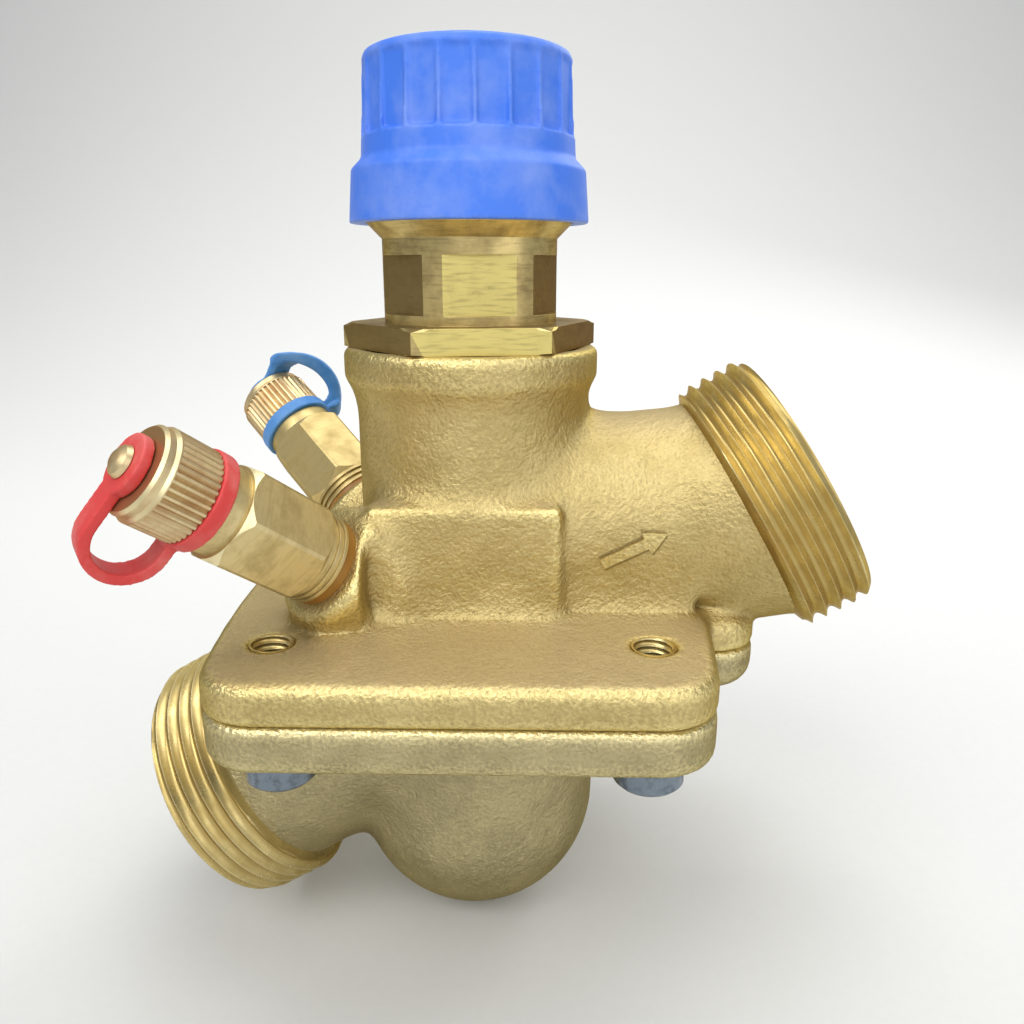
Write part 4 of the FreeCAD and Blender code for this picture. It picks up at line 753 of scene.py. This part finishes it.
def bent_strap(mesh, start, axis, reach, turns, draw, swell):
    """Turns a strap's two ends round the test point's axis, draws its loop in and fills it out."""
    points = read_points(mesh) - start
    out = np.clip((off_line(points, 0.0, axis) - STRAP_ROOT) / (STRAP_END - STRAP_ROOT), 0.0, 1.0)
    points = points + read_points(mesh, "normal") * (swell * np.minimum(1.0, 3.0 * out))[:, None]
    along = points @ axis
    spoke = points - np.outer(along, axis)
    radius = np.linalg.norm(spoke, axis=1)
    spoke *= ((radius - draw * out) / radius)[:, None]
    turn = np.radians(np.interp(along - reach, (RING_LEVEL, EYELET_LEVEL), turns))[:, None]
    turned = spoke * np.cos(turn) + np.cross(axis, spoke) * np.sin(turn)
    mesh.vertices.foreach_set("co", (start + np.outer(along, axis) + turned).ravel())
    mesh.update()
    return mesh


def chamfer_highlight(axis):
    """A rule for a painted highlight on the slanted faces at the hexagon's ends."""
    def rule(_, normal):
        return 0.9 if LEANING < abs(normal.dot(Vector(axis))) < FACING else 0.0
    return rule


def cap_tarnish_and_light(axis, reach):
    """A rule: copper tarnish on the end, painted highlight on the rim, painted shade in knurl grooves."""
    def rule(middle, normal):
        offset = np.array(middle) - TEST_START
        along = offset @ axis
        spoke = Vector(offset - along * axis).normalized()
        lean = normal.dot(Vector(axis))
        if along - reach > STUD_START:
            return 0.3
        if lean > FACING:
            return -1.0
        if lean > LEANING:
            return 0.85
        return -0.45 if abs(normal.dot(spoke)) < 0.9 else 0.0
    return rule


amber = moulded("amber fibre seal", body="#94641F", worn_and_lit="#B28B4C", speck=0.3 * MM, gloss=0.45,
                relief=0.02 * MM)
strap_finishes = {"red": moulded("red strap rubber", body="#D23C3A", worn_and_lit="#E39088", speck=0.4 * MM,
                                 gloss=0.55, relief=0.03 * MM),
                  "blue": moulded("blue strap rubber", body="#3E82C8", worn_and_lit="#86B2DC", speck=0.4 * MM,
                                  gloss=0.5, relief=0.03 * MM)}
for side, axis in TEST_AXES.items():
    reach = TEST_REACH[side]
    hex_brass = turned_brass(f"turned brass, {side} test body", body=TEST_BODY_TONES[side], stain_and_shade="#A8925C",
                             rubbed_and_highlight="#F6EABC", axis=axis, line_pitch=0.6 * MM, scoring=0.25, gloss=0.42)
    cap_brass = turned_brass(f"turned brass, {side} test cap", body="#DCC99C", stain_and_shade="#B88E62",
                             rubbed_and_highlight="#F0E2B2", axis=axis, line_pitch=0.6 * MM, scoring=0.2, gloss=0.36)
    seal_mesh = evened(merged_copy(f"{side}_test_seal"), sharp_angle=30)
    add_piece(f"{side}_seal_ring", seal_mesh, "valve", "amber_seal", amber, f"{side}_test_seal")
    # painted highlight on the hexagon's slanted end faces
    body_mesh = marked(evened(merged_copy(f"{side}_test_body"), sharp_angle=18), chamfer_highlight(axis))
    add_piece(f"{side}_body_turned", body_mesh, "valve", "machined_brass", hex_brass, f"{side}_test_body")
    # copper tarnish on the end face, painted highlight on the rim, painted shade in the knurl's grooves
    cap_mesh = marked(evened(merged_copy(f"{side}_test_cap"), sharp_angle=24), cap_tarnish_and_light(axis, reach))
    add_piece(f"{side}_cap_knurled", cap_mesh, f"{side}_cap", "machined_brass", cap_brass, f"{side}_test_cap")
    strap_skin = skinned(merged_copy(f"{side}_strap"), voxel=0.2 * MM, passes=4, standout_depth=0.1 * MM)
    strap_mesh = bent_strap(strap_skin, TEST_START, axis, reach, STRAP_TURNS[side], STRAP_DRAW[side],
                            STRAP_SWELL[side])
    add_piece(f"{side}_strap_moulded", strap_mesh, f"{side}_strap_body", f"{side}_rubber",
              strap_finishes[side], f"{side}_strap")


# Studio: a pale seamless floor that curves up behind, broad soft lamps and the photograph's camera.
# Each lamp has its place, the point it faces, its size and its power. The last one faces the backdrop.

FLOOR = -20.0 * MM
SWEEP_FROM, SWEEP_RADIUS, STUDIO_HALF, STUDIO_TOP = 0.35, 1.1, 2.5, 3.0
AIM = Vector((0.046, 0.0, 0.045))
LAMPS = [("key", (-0.30, -0.42, 0.62), AIM, 0.45, 2.4), ("fill", (0.55, -0.40, 0.30), AIM, 0.5, 1.0),
         ("front", (0.05, -1.05, 0.7), AIM, 1.0, 5.0), ("top", (0.10, 0.10, 0.75), AIM, 0.6, 2.8),
         ("back", (0.45, 0.50, 0.45), AIM, 0.4, 1.2),
         ("backdrop", (0.05, 0.25, 0.9), Vector((0.05, 1.4, 0.5)), 0.8, 8.0)]

floor_paint, floor_nodes = new_material("pale studio paper")
paper_place = add_node(floor_nodes, "ShaderNodeTexCoord").outputs["Object"]
paper_grain = noise(floor_nodes, paper_place, 1.5 * MM, 2.0)
paper_tone = mixed(floor_nodes, paper_grain, tint("#D4D4D1"), tint("#D8D8D5"))
surface(floor_nodes, {"Base Color": paper_tone, "Roughness": 0.85})
sweep = [(-STUDIO_HALF, FLOOR)]
sweep += [(SWEEP_FROM + SWEEP_RADIUS * math.sin(turn), FLOOR + SWEEP_RADIUS * (1 - math.cos(turn)))
          for turn in np.linspace(0, math.pi / 2, 24)]
sweep += [(SWEEP_FROM + SWEEP_RADIUS, STUDIO_TOP)]
floor_mesh = bpy.data.meshes.new("studio_floor")
floor_corners = [(side * STUDIO_HALF, y, z) for y, z in sweep for side in (-1, 1)]
floor_faces = [(left, left + 1, left + 3, left + 2) for left in range(0, 2 * len(sweep) - 2, 2)]
floor_mesh.from_pydata(floor_corners, [], floor_faces)
floor_mesh.polygons.foreach_set("use_smooth", [True] * len(floor_mesh.polygons))
floor_mesh.materials.append(floor_paint)
floor = bpy.data.objects.new("studio_floor", floor_mesh)
bpy.context.scene.collection.objects.link(floor)

for name, spot, aim, size, power in LAMPS:
    lamp = bpy.data.lights.new(name, "AREA")
    lamp.size = size
    lamp.energy = power
    holder = bpy.data.objects.new(name, lamp)
    holder.location = spot
    holder.rotation_euler = (aim - Vector(spot)).to_track_quat("-Z", "Y").to_euler()
    bpy.context.scene.collection.objects.link(holder)

sky = bpy.data.worlds.new("soft room")
sky.use_nodes = True
sky.node_tree.nodes.clear()
room = add_node(sky.node_tree, "ShaderNodeBackground", {"Color": tint("#DADDE2"), "Strength": 0.5})
add_node(sky.node_tree, "ShaderNodeOutputWorld", {"Surface": room.outputs[0]})
bpy.context.scene.world = sky
bpy.context.scene.view_settings.view_transform = "Standard"

camera = bpy.data.cameras.new("photo_camera")
camera.sensor_width = 36.0
camera.lens = 30.59
camera.clip_start = 0.01
viewpoint = bpy.data.objects.new("photo_camera", camera)
viewpoint.location = Vector((52.495, -134.562, 87.071)) * MM
viewpoint.rotation_euler = (math.radians(74.05), 0.0, 0.0221)
bpy.context.scene.collection.objects.link(viewpoint)
bpy.context.scene.camera = viewpoint
